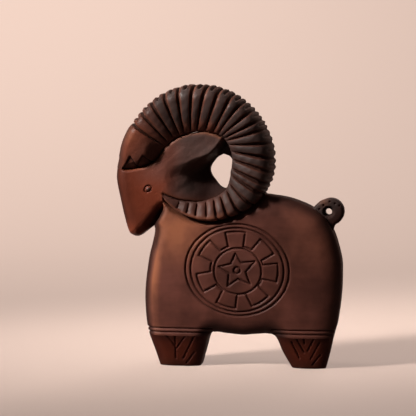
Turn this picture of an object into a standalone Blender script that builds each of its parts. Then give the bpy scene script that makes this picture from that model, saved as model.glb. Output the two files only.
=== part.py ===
"""Carved wooden goat figurine with curled, ribbed horns.

The figure stands in the XZ plane with its head towards -X and its left side towards -Y.
It is a glued assembly: a domed body on two hooves, a head whose neck tenon sits in the body,
two ribbed horns doweled through the head, a pierced tail loop and two eye pegs.
All sizes are in metres.
"""

import math

import bmesh
import bpy
import numpy as np
from mathutils import Matrix, Vector
from mathutils.geometry import delaunay_2d_cdt, interpolate_bezier

# Fits
CLEARANCE = 0.0003

# Body and legs
CHEST_X = -0.0447
RUMP_X = 0.0589
BACK_Z = 0.0910
BELLY_Z = 0.0171
BODY_HALF = 0.0155
BODY_DOME = 0.0040
SIDE_HALF = 0.0065
EDGE_ROUND = 0.0080

# Hooves
HOOF_JOINT_Z = 0.0166
FRONT_LEG_SET_BACK = 0.0022
FRONT_LEG_LENGTH = 0.0319
FRONT_SOLE_SET_BACK = 0.0055
FRONT_SOLE_LENGTH = 0.0216
REAR_LEG_SET_BACK = 0.0043
REAR_LEG_LENGTH = 0.0302
REAR_SOLE_SET_BACK = 0.0039
REAR_SOLE_LENGTH = 0.0177
SOLE_THINNING = 0.25

# Head
FACE_HALF = 0.0125
MUZZLE_HALF = 0.0100
FACE_SIDE_HALF = 0.0050
FACE_ROUND = 0.0060
EAR_HALF = 0.0130
RECESS_HALF = 0.0070
RECESS_RISE = 0.0032
PLATE_HALF = 0.0060
PLATE_RADIUS = 0.0300
TENON_HALF = 0.0050
TENON_WIDTH = 0.0220
TENON_DEPTH = 0.0120

# Horns
HORN_X = -0.0168
HORN_Z = 0.1097
HORN_RADIUS = 0.0390
HORN_ROOT_GAIN = 0.0032
HORN_TIP_LOSS = 0.0128
HORN_WIDTH = 0.0256
HORN_HALF = 0.0185
HORN_TIP_HALF = 0.0160
HORN_INNER_HALF = 0.0095
HORN_TIP_INNER_HALF = 0.0125
HORN_CREST = 0.62
ROOT_ANGLE = math.radians(182.0)
FIRST_GROOVE = math.radians(153.0)
GROOVE_PITCH = math.radians(10.7)
GROOVE_COUNT = 26
GROOVE_DEPTH = 0.0011
TIP_ANGLE = math.radians(-133.0)

# Tail loop
TAIL_RADIUS = 0.0071
TAIL_HALF = 0.0050
TAIL_ROUND = 0.0025
TAIL_HOLE_RADIUS = 0.0020
TAIL_SINK_RADIUS = 0.0029
TAIL_SINK_DEPTH = 0.0016
TAIL_SPIGOT_RADIUS = 0.0024
TAIL_SPIGOT_LENGTH = 0.0090

# Eyes
EYE_RADIUS = 0.0016
EYE_PROUD = 0.0008
EYE_PEG_RADIUS = 0.0012
EYE_PEG_LENGTH = 0.0050

# Dowels
DOWEL_RADIUS = 0.0025
HOOF_DOWEL_DEPTH = 0.0085
HOOF_DOWEL_INSET = 0.0090
HORN_DOWEL_DEPTH = 0.0060
HORN_DOWEL_ANGLES = {"upper": math.radians(100.0), "rear": math.radians(-5.0)}
HORN_DOWEL_ORBIT = 0.0250

# Mesh fineness
ROUND_SEGMENTS = 24
PLATE_SEGMENTS = 72
CURVE_STEPS = 3
EDGE_RINGS = (0.09, 0.43, 1.0)
EDGE_STEP = 0.0030
CAP_GRID = 0.0050
HEAD_GRID = 0.0030

HOOF_RING = 0.0040
RIM_STEPS = 90

SEAM = CLEARANCE / 2
THROUGH = 3 * HORN_HALF
SIDES = {"left": -1, "right": 1}
STAINED = (0.115, 0.042, 0.028)
DARK_STAINED = (0.050, 0.033, 0.028)
BARE_WOOD = (0.52, 0.36, 0.21)


# Outline helpers

def smooth_path(points, steps=CURVE_STEPS):
    """Points along a smooth curve through the given (x, z) points."""
    knots = [Vector(point) for point in points]
    path = [knots[0]]
    for i in range(len(knots) - 1):
        start, end = knots[i], knots[i + 1]
        reach = (end - start).length / 3
        leave = (end - knots[max(i - 1, 0)]).normalized() * reach
        arrive = (knots[min(i + 2, len(knots) - 1)] - start).normalized() * reach
        path += interpolate_bezier(start, start + leave, end - arrive, end, steps + 1)[1:]
    return [(point[0], point[1]) for point in path]


def distance_to_path(points, path, closed=False):
    """Distance from each (x, z) point to the nearest stretch of a path."""
    points = np.asarray(points)
    starts = np.asarray(path if closed else path[:-1])
    ends = np.asarray(path[1:] + path[:1] if closed else path[1:])
    along = ends - starts
    offset = points[:, None, :] - starts[None]
    share = (offset * along).sum(2) / np.maximum((along ** 2).sum(1), 1e-18)
    nearest = offset - np.clip(share, 0, 1)[..., None] * along
    return np.sqrt((nearest ** 2).sum(2)).min(1)


def inside_outline(points, outline):
    """Which (x, z) points lie inside a closed outline."""
    points = np.asarray(points)
    inside = np.zeros(len(points), bool)
    for (xa, za), (xb, zb) in zip(outline, outline[1:] + outline[:1]):
        spans = (za > points[:, 1]) != (zb > points[:, 1])
        rise = zb - za if zb != za else 1e-18
        crossing = xa + (points[:, 1] - za) * (xb - xa) / rise
        inside ^= spans & (points[:, 0] < crossing)
    return inside


def inward_offset(outline, distance):
    """A closed outline moved inwards, or outwards with a negative distance."""
    loop = np.asarray(outline)
    chord = np.roll(loop, -1, 0) - np.roll(loop, 1, 0)
    chord /= np.linalg.norm(chord, axis=1)[:, None]
    area = np.cross(loop, np.roll(loop, -1, 0)).sum()
    normal = np.stack([-chord[:, 1], chord[:, 0]], 1) * math.copysign(1, area)
    return [tuple(point) for point in loop + normal * distance]


def divided(outline, longest):
    """A closed outline with its long straight runs divided evenly."""
    result = []
    for start, end in zip(outline, outline[1:] + outline[:1]):
        count = max(1, math.ceil(math.dist(start, end) / longest))
        result += [tuple(Vector(start).lerp(Vector(end), i / count)) for i in range(count)]
    return result


def cut_at_height(path, height):
    """Index and point where a path first crosses a height."""
    for i in range(len(path) - 1):
        (xa, za), (xb, zb) = path[i], path[i + 1]
        if (za - height) * (zb - height) <= 0 and za != zb:
            share = (height - za) / (zb - za)
            return i, (xa + share * (xb - xa), height)
    raise ValueError("the path never reaches this height")


def split_path(path, height):
    """The stretches of a path before and after it first crosses a height."""
    index, point = cut_at_height(path, height)
    return path[:index + 1] + [point], [point] + path[index + 1:]


def smooth_step(low, high, value):
    share = np.clip((value - low) / (high - low), 0, 1)
    return share * share * (3 - 2 * share)


# Horn curves: the outer rim and the inner edge around the curl

def rim_radius(angle):
    """Outer radius: widest at the root, drawn in along the lower curl."""
    gain = HORN_ROOT_GAIN * smooth_step(math.radians(140), math.radians(185), angle)
    loss = HORN_TIP_LOSS * np.clip((math.radians(-35) - angle) / math.radians(100), 0, 1)
    return HORN_RADIUS + gain - loss


WIDTH_SHARES = {182: 0.62, 172: 0.74, 153: 0.84, 120: 0.96, 90: 1.0, 60: 0.95, 36: 0.84,
                15: 0.80, -20: 0.77, -45: 0.66, -75: 0.46, -105: 0.24, -133: 0.045}


def horn_width(angle):
    """Radial width of the horn, greatest at the top and tapering to the tip."""
    degrees = sorted(WIDTH_SHARES)
    return HORN_WIDTH * np.interp(math.degrees(angle), degrees, [WIDTH_SHARES[d] for d in degrees])


GROOVE_LEAN = {182: 0, 153: 8, 120: 11, 95: 11, 75: -2, 55: -6, 35: 0, 15: 9, -5: 5, -30: 0, -133: 0}


def lean(angle):
    """How far a groove's inner end runs ahead of its outer end."""
    degrees = sorted(GROOVE_LEAN)
    return math.radians(np.interp(math.degrees(angle), degrees, [GROOVE_LEAN[d] for d in degrees]))


def inner_angle(angle):
    """Where on the inner edge the section that starts at a rim angle ends."""
    return max(min(angle + lean(angle), ROOT_ANGLE), TIP_ANGLE)


def rim_point(angle, outset=0.0):
    radius = rim_radius(angle) + outset
    return (HORN_X + radius * math.cos(angle), HORN_Z + radius * math.sin(angle))


def inner_point(angle, outset=0.0):
    """A point on the horn's inner edge."""
    radius = rim_radius(angle) - horn_width(angle) + outset
    return (HORN_X + radius * math.cos(angle), HORN_Z + radius * math.sin(angle))


def past_tip(point):
    """A point moved clear of the horn's blunt tip."""
    return (point[0] + CLEARANCE * math.sin(TIP_ANGLE), point[1] - CLEARANCE * math.cos(TIP_ANGLE))


HORN_TIP = past_tip(rim_point(TIP_ANGLE))
HORN_ROOT = rim_point(ROOT_ANGLE)

# Tail, jaw and leg places
TAIL_X = RUMP_X - 0.0063
TAIL_Z = BACK_Z - 0.0089
TAIL_HOLE = (TAIL_X - 0.0009, TAIL_Z)
NOTCH = (HORN_X - 0.0236, HORN_Z - 0.0354)
FRONT_LEG_FRONT = CHEST_X + FRONT_LEG_SET_BACK
FRONT_LEG_REAR = FRONT_LEG_FRONT + FRONT_LEG_LENGTH
FRONT_SOLE = (FRONT_LEG_FRONT + FRONT_SOLE_SET_BACK,
              FRONT_LEG_FRONT + FRONT_SOLE_SET_BACK + FRONT_SOLE_LENGTH)
REAR_LEG_REAR = RUMP_X - REAR_LEG_SET_BACK
REAR_LEG_FRONT = REAR_LEG_REAR - REAR_LEG_LENGTH
REAR_SOLE = (REAR_LEG_REAR - REAR_SOLE_SET_BACK - REAR_SOLE_LENGTH,
             REAR_LEG_REAR - REAR_SOLE_SET_BACK)

# The edges of body and legs that show: throat and chest, arch, rump and back
VALLEY = smooth_path([
    HORN_TIP,
    (0.55 * HORN_TIP[0] + 0.45 * NOTCH[0], 0.6 * HORN_TIP[1] + 0.4 * NOTCH[1]),
    NOTCH,
])
CHEST_EDGE = [(x + SEAM, z) for x, z in VALLEY] + smooth_path([
    (NOTCH[0] + 0.0010, NOTCH[1] - 0.0020),
    (CHEST_X + 0.0042, NOTCH[1] - 0.0085),
    (CHEST_X + 0.0024, NOTCH[1] - 0.0157),
    (CHEST_X + 0.0006, NOTCH[1] - 0.0272),
    (CHEST_X, NOTCH[1] - 0.0382),
    (CHEST_X + 0.0003, HOOF_JOINT_Z + 0.0110),
    (FRONT_LEG_FRONT - 0.0008, HOOF_JOINT_Z + 0.0035),
    (FRONT_LEG_FRONT, HOOF_JOINT_Z),
    (FRONT_SOLE[0] - 0.40 * FRONT_SOLE_SET_BACK, 0.42 * HOOF_JOINT_Z),
    (FRONT_SOLE[0], 0.0),
])
ARCH_EDGE = smooth_path([
    (FRONT_SOLE[1], 0.0),
    (0.45 * FRONT_SOLE[1] + 0.55 * FRONT_LEG_REAR, 0.6 * HOOF_JOINT_Z),
    (FRONT_LEG_REAR, HOOF_JOINT_Z),
    (FRONT_LEG_REAR + 0.0036, BELLY_Z + 0.0013),
    (FRONT_LEG_REAR + 0.0092, BELLY_Z + 0.0007),
    (0.5 * (FRONT_LEG_REAR + REAR_LEG_FRONT), BELLY_Z),
    (REAR_LEG_FRONT - 0.0088, BELLY_Z + 0.0007),
    (REAR_LEG_FRONT - 0.0034, BELLY_Z + 0.0008),
    (REAR_LEG_FRONT, HOOF_JOINT_Z),
    (0.55 * REAR_LEG_FRONT + 0.45 * REAR_SOLE[0], 0.5 * HOOF_JOINT_Z),
    (REAR_SOLE[0], 0.0),
])
RUMP_EDGE = smooth_path([
    (REAR_SOLE[1], 0.0),
    (REAR_LEG_REAR - 0.50 * REAR_SOLE_SET_BACK, 0.45 * HOOF_JOINT_Z),
    (REAR_LEG_REAR, HOOF_JOINT_Z),
    (RUMP_X - 0.0024, HOOF_JOINT_Z + 0.0070),
    (RUMP_X - 0.0005, HOOF_JOINT_Z + 0.0215),
    (RUMP_X, HOOF_JOINT_Z + 0.0325),
    (RUMP_X - 0.0006, BACK_Z - 0.0334),
    (RUMP_X - 0.0040, BACK_Z - 0.0209),
    (RUMP_X - 0.0093, BACK_Z - 0.0118),
    (RUMP_X - 0.0148, BACK_Z - 0.0074),
    (RUMP_X - 0.0224, BACK_Z - 0.0038),
    (RUMP_X - 0.0290, BACK_Z - 0.0018),
    (RUMP_X - 0.0400, BACK_Z),
])
HIDDEN_TOP = [(HORN_X + 0.0250, HORN_Z - 0.0100), (HORN_X, HORN_Z - 0.0060)]

# The free edge of the tail: an arc that flares into the rump
TAIL_ARC = [(TAIL_X + TAIL_RADIUS * math.cos(turn), TAIL_Z + TAIL_RADIUS * math.sin(turn))
            for turn in np.linspace(math.radians(-65), math.radians(145), 22)]
TAIL_EDGE = smooth_path([
    (TAIL_X + 0.0013, TAIL_Z - 0.0105),
    (TAIL_X + 0.0020, TAIL_Z - 0.0078),
    TAIL_ARC[0],
], 2)[:-1] + TAIL_ARC + smooth_path([
    TAIL_ARC[-1],
    (TAIL_X - 0.0078, TAIL_Z + 0.0030),
    (TAIL_X - 0.0108, TAIL_Z + 0.0020),
], 2)[1:]

# The free edge of the face: brow, muzzle, chin and jaw
FACE_EDGE = smooth_path([
    (HORN_ROOT[0] - 0.0004, HORN_ROOT[1] - CLEARANCE),
    (HORN_X - 0.0432, HORN_Z - 0.0058),
    (HORN_X - 0.0434, HORN_Z - 0.0111),
    (HORN_X - 0.0416, HORN_Z - 0.0207),
    (HORN_X - 0.0394, HORN_Z - 0.0308),
    (HORN_X - 0.0368, HORN_Z - 0.0393),
    (HORN_X - 0.0343, HORN_Z - 0.0411),
    (HORN_X - 0.0315, HORN_Z - 0.0413),
    (HORN_X - 0.0285, HORN_Z - 0.0392),
    (NOTCH[0] - SEAM, NOTCH[1]),
]) + [(x - SEAM, z) for x, z in reversed(VALLEY[:-1])]


# Carved heights: how far each surface stands from the middle plane

def rounded(depth, radius):
    """Share of full height at a depth inside a rounded edge."""
    return np.sqrt(1 - (1 - np.clip(depth / radius, 0, 1)) ** 2)


def flank_half(points):
    """Half thickness of body and legs: domed flanks with rounded edges, hooves drawn in."""
    points = np.asarray(points)
    x, z = points[:, 0], points[:, 1]
    edges = (CHEST_EDGE, ARCH_EDGE, RUMP_EDGE)
    depth = np.min([distance_to_path(points, edge) for edge in edges], 0)
    across = (x - 0.5 * (CHEST_X + RUMP_X)) / (0.58 * (RUMP_X - CHEST_X))
    upward = (z - 0.5 * (BELLY_Z + BACK_Z)) / (0.62 * (BACK_Z - BELLY_Z))
    dome = BODY_DOME * np.clip(1 - across ** 2, 0, 1) * np.clip(1 - upward ** 2, 0, 1)
    drawn_in = 1 - SOLE_THINNING * np.clip(1 - z / HOOF_JOINT_Z, 0, 1)
    crown = (BODY_HALF - BODY_DOME + dome) * drawn_in
    side = SIDE_HALF * drawn_in
    return side + (crown - side) * rounded(depth, EDGE_ROUND)


EYE_SPOT = (HORN_X - 0.0254, HORN_Z - 0.0159)
EAR_HOLE = smooth_path([
    (HORN_X + 0.0131, HORN_Z + 0.0026),
    (HORN_X + 0.0173, HORN_Z + 0.0004),
    (HORN_X + 0.0186, HORN_Z - 0.0048),
    (HORN_X + 0.0173, HORN_Z - 0.0111),
    (HORN_X + 0.0138, HORN_Z - 0.0158),
    (HORN_X + 0.0086, HORN_Z - 0.0114),
    (HORN_X + 0.0060, HORN_Z - 0.0056),
    (HORN_X + 0.0085, HORN_Z - 0.0003),
    (HORN_X + 0.0131, HORN_Z + 0.0026),
])[:-1]
EAR_FOLD = smooth_path([
    (HORN_X - 0.0200, HORN_Z - 0.0100),
    (HORN_X - 0.0125, HORN_Z - 0.0075),
    (HORN_X - 0.0064, HORN_Z - 0.0062),
    (HORN_X - 0.0003, HORN_Z - 0.0038),
    (HORN_X + 0.0042, HORN_Z - 0.0009),
    (HORN_X + 0.0081, HORN_Z + 0.0028),
    (HORN_X + 0.0118, HORN_Z + 0.0073),
    (HORN_X + 0.0160, HORN_Z + 0.0130),
])


def face_half(points):
    """Half thickness of face, ear and the hollow below the ear."""
    points = np.asarray(points)
    x, z = points[:, 0], points[:, 1]
    fold_x, fold_z = np.asarray(EAR_FOLD).T
    below = np.where(z < np.interp(x, fold_x, fold_z), 1, -1)
    fold = below * distance_to_path(points, EAR_FOLD)
    brow = smooth_step(HORN_Z - 0.038, HORN_Z - 0.012, z)
    face = MUZZLE_HALF + (FACE_HALF - MUZZLE_HALF) * brow
    ear = face + (EAR_HALF - face) * smooth_step(HORN_X - 0.022, HORN_X - 0.008, x)
    out = np.hypot(x - HORN_X, z - HORN_Z)
    rise = RECESS_RISE * smooth_step(0.0150, 0.0210, out) * smooth_step(HORN_Z - 0.009, HORN_Z - 0.016, z)
    hollow = smooth_step(-0.0025, 0.0045, fold) * smooth_step(HORN_X - 0.0190, HORN_X - 0.0100, x)
    height = ear + (RECESS_HALF + rise - ear) * hollow
    edge = rounded(distance_to_path(points, FACE_EDGE), FACE_ROUND)
    return np.maximum(FACE_SIDE_HALF + (height - FACE_SIDE_HALF) * edge, PLATE_HALF + SEAM)


def tail_half(points):
    """Half thickness of the tail loop, rounded at its rim."""
    side = TAIL_HALF - TAIL_ROUND
    return side + TAIL_ROUND * rounded(distance_to_path(points, TAIL_EDGE), TAIL_ROUND)


# Scene and mesh helpers

def clear_scene():
    for old in list(bpy.data.objects):
        bpy.data.objects.remove(old, do_unlink=True)


def make_collection(name):
    collection = bpy.data.collections.new(name)
    bpy.context.scene.collection.children.link(collection)
    return collection


def make_material(name, colour, roughness):
    material = bpy.data.materials.new(name)
    material.use_nodes = True
    shader = material.node_tree.nodes["Principled BSDF"]
    shader.inputs["Base Color"].default_value = (*colour, 1.0)
    shader.inputs["Roughness"].default_value = roughness
    shader.inputs["Metallic"].default_value = 0.0
    return material


def mesh_object(name, bm, collection):
    """An object from a bmesh with its faces turned outwards."""
    bmesh.ops.recalc_face_normals(bm, faces=bm.faces)
    mesh = bpy.data.meshes.new(name)
    bm.to_mesh(mesh)
    bm.free()
    obj = bpy.data.objects.new(name, mesh)
    collection.objects.link(obj)
    return obj


def boolean(obj, other, operation="DIFFERENCE", solver="EXACT"):
    modifier = obj.modifiers.new(other.name, "BOOLEAN")
    modifier.object = other
    modifier.operation = operation
    modifier.solver = solver


def relief_slab(name, outline, half, round_width, grid, collection):
    """A slab whose two carved faces stand half(x, z) from the middle plane."""
    outline = divided(outline, EDGE_STEP)
    count = len(outline)
    points = list(outline)
    for share in EDGE_RINGS:
        ring = inward_offset(outline, share * round_width)
        room = distance_to_path(ring, outline, closed=True) > 0.93 * share * round_width
        points += [p for p, keep in zip(ring, room & inside_outline(ring, outline)) if keep]
    low, high = np.min(outline, 0), np.max(outline, 0)
    rows = np.arange(low[1], high[1], grid * math.sqrt(0.75))
    columns = np.arange(low[0], high[0], grid)
    lattice = [(x + 0.5 * grid * (i % 2), z) for i, z in enumerate(rows) for x in columns]
    room = distance_to_path(lattice, outline, closed=True) > round_width + 0.4 * grid
    points += [p for p, keep in zip(lattice, room & inside_outline(lattice, outline)) if keep]
    border = [(i, (i + 1) % count) for i in range(count)]
    flat, _, faces, sources, _, _ = delaunay_2d_cdt([Vector(p) for p in points], border, [], 1, 1e-7)
    heights = half([(p[0], p[1]) for p in flat])
    place = {source: i for i, group in enumerate(sources) for source in group}
    bm = bmesh.new()
    front = [bm.verts.new((p[0], -h, p[1])) for p, h in zip(flat, heights)]
    back = [bm.verts.new((p[0], h, p[1])) for p, h in zip(flat, heights)]
    for face in faces:
        bm.faces.new([front[i] for i in face])
        bm.faces.new([back[i] for i in reversed(face)])
    for a, b in border:
        a, b = place[a], place[b]
        bm.faces.new((front[a], front[b], back[b], back[a]))
    loose = [vert for vert in bm.verts if not vert.link_faces]
    bmesh.ops.delete(bm, geom=loose, context="VERTS")
    return mesh_object(name, bm, collection)


def prism(name, outline, half, collection):
    """A straight block across the figure with the given outline."""
    bm = bmesh.new()
    face = bm.faces.new([bm.verts.new((x, -half, z)) for x, z in outline])
    grown = bmesh.ops.extrude_face_region(bm, geom=[face])["geom"]
    moved = [item for item in grown if isinstance(item, bmesh.types.BMVert)]
    bmesh.ops.translate(bm, vec=(0, 2 * half, 0), verts=moved)
    return mesh_object(name, bm, collection)


def rods(name, radius, length, places, axis, collection, segments=ROUND_SEGMENTS, radius_end=None):
    """Cylinders or cones of one size, centred on the given places along one axis."""
    turn = Vector((0, 0, 1)).rotation_difference(Vector(axis)).to_matrix().to_4x4()
    bm = bmesh.new()
    for place in places:
        bmesh.ops.create_cone(
            bm, cap_ends=True, segments=segments, radius1=radius,
            radius2=radius if radius_end is None else radius_end,
            depth=length, matrix=Matrix.Translation(place) @ turn)
    return mesh_object(name, bm, collection)


# Sub-parts

def horn_section(angle, groove):
    """Points (x, height, z) across the horn from its inner foot over the crest to its rim."""
    sunk = GROOVE_DEPTH * groove
    along = smooth_step(math.radians(-35), TIP_ANGLE, angle)
    crest = HORN_HALF + (HORN_TIP_HALF - HORN_HALF) * along - sunk
    inner_height = HORN_INNER_HALF + (HORN_TIP_INNER_HALF - HORN_INNER_HALF) * along - 0.3 * sunk
    inner = Vector(inner_point(inner_angle(angle), SEAM))
    outer = Vector(rim_point(angle, -0.6 * sunk))
    profile = [(0.0, SEAM), (0.0, inner_height)]
    for share in (0.33, 0.68):
        swell = math.sin(0.5 * math.pi * share)
        profile.append((HORN_CREST * share, inner_height + (crest - inner_height) * swell))
    for turn in (0, 25, 45, 65, 80):
        across = math.sin(math.radians(turn)) ** 0.8
        profile.append((HORN_CREST + (1 - HORN_CREST) * across, crest * math.cos(math.radians(turn)) ** 0.8))
    profile.append((1.0, SEAM))
    spots = [(inner.lerp(outer, share), height) for share, height in profile]
    return [(spot[0], height, spot[1]) for spot, height in spots]


def horn_stations():
    """Angles down the curl with the groove share at each: smooth root, grooved ribs, smooth tip."""
    smooth_root = np.linspace(ROOT_ANGLE, FIRST_GROOVE + 0.18 * GROOVE_PITCH, 5)
    stations = [(angle, 0.0) for angle in smooth_root]
    for i in range(GROOVE_COUNT):
        groove = FIRST_GROOVE - i * GROOVE_PITCH
        stations.append((groove, 1.0))
        stations.append((groove - 0.18 * GROOVE_PITCH, 0.0))
        if i < GROOVE_COUNT - 1:
            stations.append((groove - 0.50 * GROOVE_PITCH, -0.25))
            stations.append((groove - 0.82 * GROOVE_PITCH, 0.0))
    stations += [(angle, 0.0) for angle in np.linspace(stations[-1][0], TIP_ANGLE, 4)[1:]]
    return stations


def build_horn(name, side, collection):
    """A ribbed horn lofted down the curl; side is -1 for the left and 1 for the right."""
    bm = bmesh.new()
    loops = []
    for angle, groove in horn_stations():
        loops.append([bm.verts.new((x, side * y, z)) for x, y, z in horn_section(angle, groove)])
    for near, far in zip(loops, loops[1:]):
        for i in range(len(near)):
            j = (i + 1) % len(near)
            bm.faces.new((near[i], near[j], far[j], far[i]))
    bm.faces.new(loops[0])
    bm.faces.new(loops[-1])
    return mesh_object(name, bm, collection)


def build_eye(name, side, place, collection):
    """A domed peg turned about its own axis, pressed into the face."""
    top = EYE_PROUD + EYE_RADIUS * 0.4
    profile = [(0.0, top), (0.55 * EYE_RADIUS, 0.8 * top), (EYE_RADIUS, EYE_PROUD * 0.4), (EYE_RADIUS, 0.0),
               (EYE_PEG_RADIUS, 0.0), (EYE_PEG_RADIUS, -EYE_PEG_LENGTH), (0.0, -EYE_PEG_LENGTH)]
    bm = bmesh.new()
    verts = [bm.verts.new((radius, 0, height)) for radius, height in profile]
    for a, b in zip(verts, verts[1:]):
        bm.edges.new((a, b))
    obj = mesh_object(name, bm, collection)
    screw = obj.modifiers.new("turn", "SCREW")
    screw.steps = screw.render_steps = ROUND_SEGMENTS
    screw.use_merge_vertices = True
    screw.merge_threshold = 1e-5
    obj.location = place
    obj.rotation_euler = (-side * math.pi / 2, 0, 0)
    return obj


def leg_and_body_outlines():
    """Closed outlines of the body and the two hooves, parted at the hoof joint."""
    leg_bottom, hoof_top = HOOF_JOINT_Z + SEAM, HOOF_JOINT_Z - SEAM
    chest_above, _ = split_path(CHEST_EDGE, leg_bottom)
    _, front_below = split_path(CHEST_EDGE, hoof_top)
    arch_start, _ = split_path(ARCH_EDGE, hoof_top)
    arch_end, _ = split_path(ARCH_EDGE[::-1], hoof_top)
    _, arch_rest = split_path(ARCH_EDGE, leg_bottom)
    _, arch_above = split_path(arch_rest[::-1], leg_bottom)
    rear_below, _ = split_path(RUMP_EDGE, hoof_top)
    _, rump_above = split_path(RUMP_EDGE, leg_bottom)
    body = chest_above + arch_above[::-1] + rump_above + HIDDEN_TOP
    return body, front_below + arch_start, arch_end[::-1] + rear_below


def head_outline():
    """Outline of face and ear: the free face edge, then the horn's inner edge back to the brow."""
    turns = [inner_angle(angle) for angle, _ in reversed(horn_stations())]
    outline = FACE_EDGE + [past_tip(inner_point(turns[0], -SEAM))]
    outline += [inner_point(turn, -SEAM) for turn in turns[1:-1]]
    brow_end = inner_point(turns[-1], -SEAM)
    return outline + [(brow_end[0], brow_end[1] - CLEARANCE)]


def build_seat(cutters):
    """The head's round plate and neck tenon, and the room that they take in body and horns."""
    axis = [(HORN_X, 0, HORN_Z)]
    tenon_low = HORN_Z - float(rim_radius(math.radians(-95))) - TENON_DEPTH
    tenon_high = HORN_Z - 0.5 * PLATE_RADIUS
    tenon_front, tenon_rear = HORN_X - 0.6 * TENON_WIDTH, HORN_X + 0.4 * TENON_WIDTH
    tenon_outline = [(tenon_front, tenon_high), (tenon_front, tenon_low),
                     (tenon_rear, tenon_low), (tenon_rear, tenon_high)]
    plate = rods("head_plate", PLATE_RADIUS, 2 * PLATE_HALF, axis, (0, 1, 0), cutters, PLATE_SEGMENTS)
    tenon = prism("neck_tenon", tenon_outline, TENON_HALF, cutters)
    plate_room = rods("head_plate_room", PLATE_RADIUS + CLEARANCE, 2 * (PLATE_HALF + CLEARANCE),
                      axis, (0, 1, 0), cutters, PLATE_SEGMENTS)
    tenon_room = prism("neck_tenon_room", inward_offset(tenon_outline, -1.5 * CLEARANCE),
                       TENON_HALF + CLEARANCE, cutters)
    return (plate, tenon), (plate_room, tenon_room)


def build_dowels(places, length, axis, cutters, holes_name, parts):
    """Dowels of one length at named places, with one cutter for all their holes."""
    holes = rods(holes_name, DOWEL_RADIUS + CLEARANCE, length + 2 * CLEARANCE,
                 places.values(), axis, cutters)
    for name, place in places.items():
        dowel = rods(name, DOWEL_RADIUS, length, [(0, 0, 0)], axis, parts)
        dowel.location = place
    return holes


def hoof_dowel_places():
    columns = {
        "front_hoof_dowel_front": FRONT_LEG_FRONT + HOOF_DOWEL_INSET,
        "front_hoof_dowel_rear": FRONT_LEG_REAR - HOOF_DOWEL_INSET,
        "rear_hoof_dowel_front": REAR_LEG_FRONT + HOOF_DOWEL_INSET,
        "rear_hoof_dowel_rear": REAR_LEG_REAR - HOOF_DOWEL_INSET,
    }
    return {name: (x, 0, HOOF_JOINT_Z) for name, x in columns.items()}


def horn_dowel_places():
    return {
        f"horn_dowel_{word}": (HORN_X + HORN_DOWEL_ORBIT * math.cos(angle), 0,
                               HORN_Z + HORN_DOWEL_ORBIT * math.sin(angle))
        for word, angle in HORN_DOWEL_ANGLES.items()
    }


def build_body(outlines, seat_room, hoof_holes, parts, cutters):
    """The domed body, hollowed for the horns and the head's seat, on two hooves."""
    body_outline, front_outline, rear_outline = outlines
    body = relief_slab("body", body_outline, flank_half, EDGE_ROUND, CAP_GRID, parts)
    front = relief_slab("front_hoof", front_outline, flank_half, HOOF_RING, CAP_GRID, parts)
    rear = relief_slab("rear_hoof", rear_outline, flank_half, HOOF_RING, CAP_GRID, parts)
    for piece in (body, front, rear):
        boolean(piece, hoof_holes)
    rim = [rim_point(angle, CLEARANCE) for angle in np.linspace(ROOT_ANGLE, TIP_ANGLE, RIM_STEPS)]
    boolean(body, prism("horn_saddle", rim, THROUGH, cutters))
    for room in seat_room:
        boolean(body, room)
    return body


def build_tail(body, body_outline, parts, cutters):
    """A pierced loop that flares into the rump, with a round spigot let into the body."""
    outline = TAIL_EDGE + [(TAIL_X - TAIL_RADIUS, TAIL_Z - TAIL_RADIUS)]
    tail = relief_slab("tail_loop", outline, tail_half, TAIL_ROUND, 2 * TAIL_ROUND, parts)
    inwards = Vector((-1, 0, -1)).normalized()
    centre = Vector((TAIL_HOLE[0], 0, TAIL_HOLE[1]))
    seat = centre + inwards * (TAIL_HOLE_RADIUS + CLEARANCE + 0.5 * TAIL_SPIGOT_LENGTH)
    spigot = rods("tail_spigot", TAIL_SPIGOT_RADIUS, TAIL_SPIGOT_LENGTH, [seat], inwards, cutters)
    socket = rods("tail_socket", TAIL_SPIGOT_RADIUS + CLEARANCE, TAIL_SPIGOT_LENGTH,
                  [seat + inwards * CLEARANCE], inwards, cutters)
    boolean(tail, prism("rump_room", inward_offset(body_outline, -CLEARANCE), THROUGH, cutters))
    boolean(tail, spigot, "UNION")
    boolean(tail, rods("tail_bore", TAIL_HOLE_RADIUS, 2 * THROUGH, [centre], (0, 1, 0), cutters))
    wide = 2 * TAIL_SINK_RADIUS - TAIL_HOLE_RADIUS
    for word, side in SIDES.items():
        face = centre + Vector((0, side * TAIL_HALF, 0))
        boolean(tail, rods(f"tail_sink_{word}", TAIL_HOLE_RADIUS, 2 * TAIL_SINK_DEPTH, [face],
                           (0, side, 0), cutters, radius_end=wide))
    boolean(body, socket)


def build_head(seat, horn_holes, parts, cutters):
    """Face and ears in one with the plate and the neck tenon, pierced behind the ears."""
    head = relief_slab("head", head_outline(), face_half, FACE_ROUND, HEAD_GRID, parts)
    for piece in seat:
        boolean(head, piece, "UNION")
    boolean(head, prism("ear_hole", EAR_HOLE, THROUGH, cutters))
    boolean(head, horn_holes)
    height = float(face_half([EYE_SPOT])[0])
    depth = EYE_PEG_LENGTH + CLEARANCE
    for word, side in SIDES.items():
        centre = (EYE_SPOT[0], side * (height + 0.5 * depth - EYE_PEG_LENGTH), EYE_SPOT[1])
        boolean(head, rods(f"{word}_eye_socket", EYE_PEG_RADIUS + CLEARANCE, depth, [centre],
                           (0, 1, 0), cutters))
        place = (EYE_SPOT[0], side * (height + CLEARANCE), EYE_SPOT[1])
        build_eye(f"{word}_eye", side, place, parts)


def build_horns(seat_room, horn_holes, parts):
    """Both horns, seated over the plate."""
    for word, side in SIDES.items():
        horn = build_horn(f"{word}_horn", side, parts)
        for room in (*seat_room, horn_holes):
            boolean(horn, room, solver="MANIFOLD")


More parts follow.
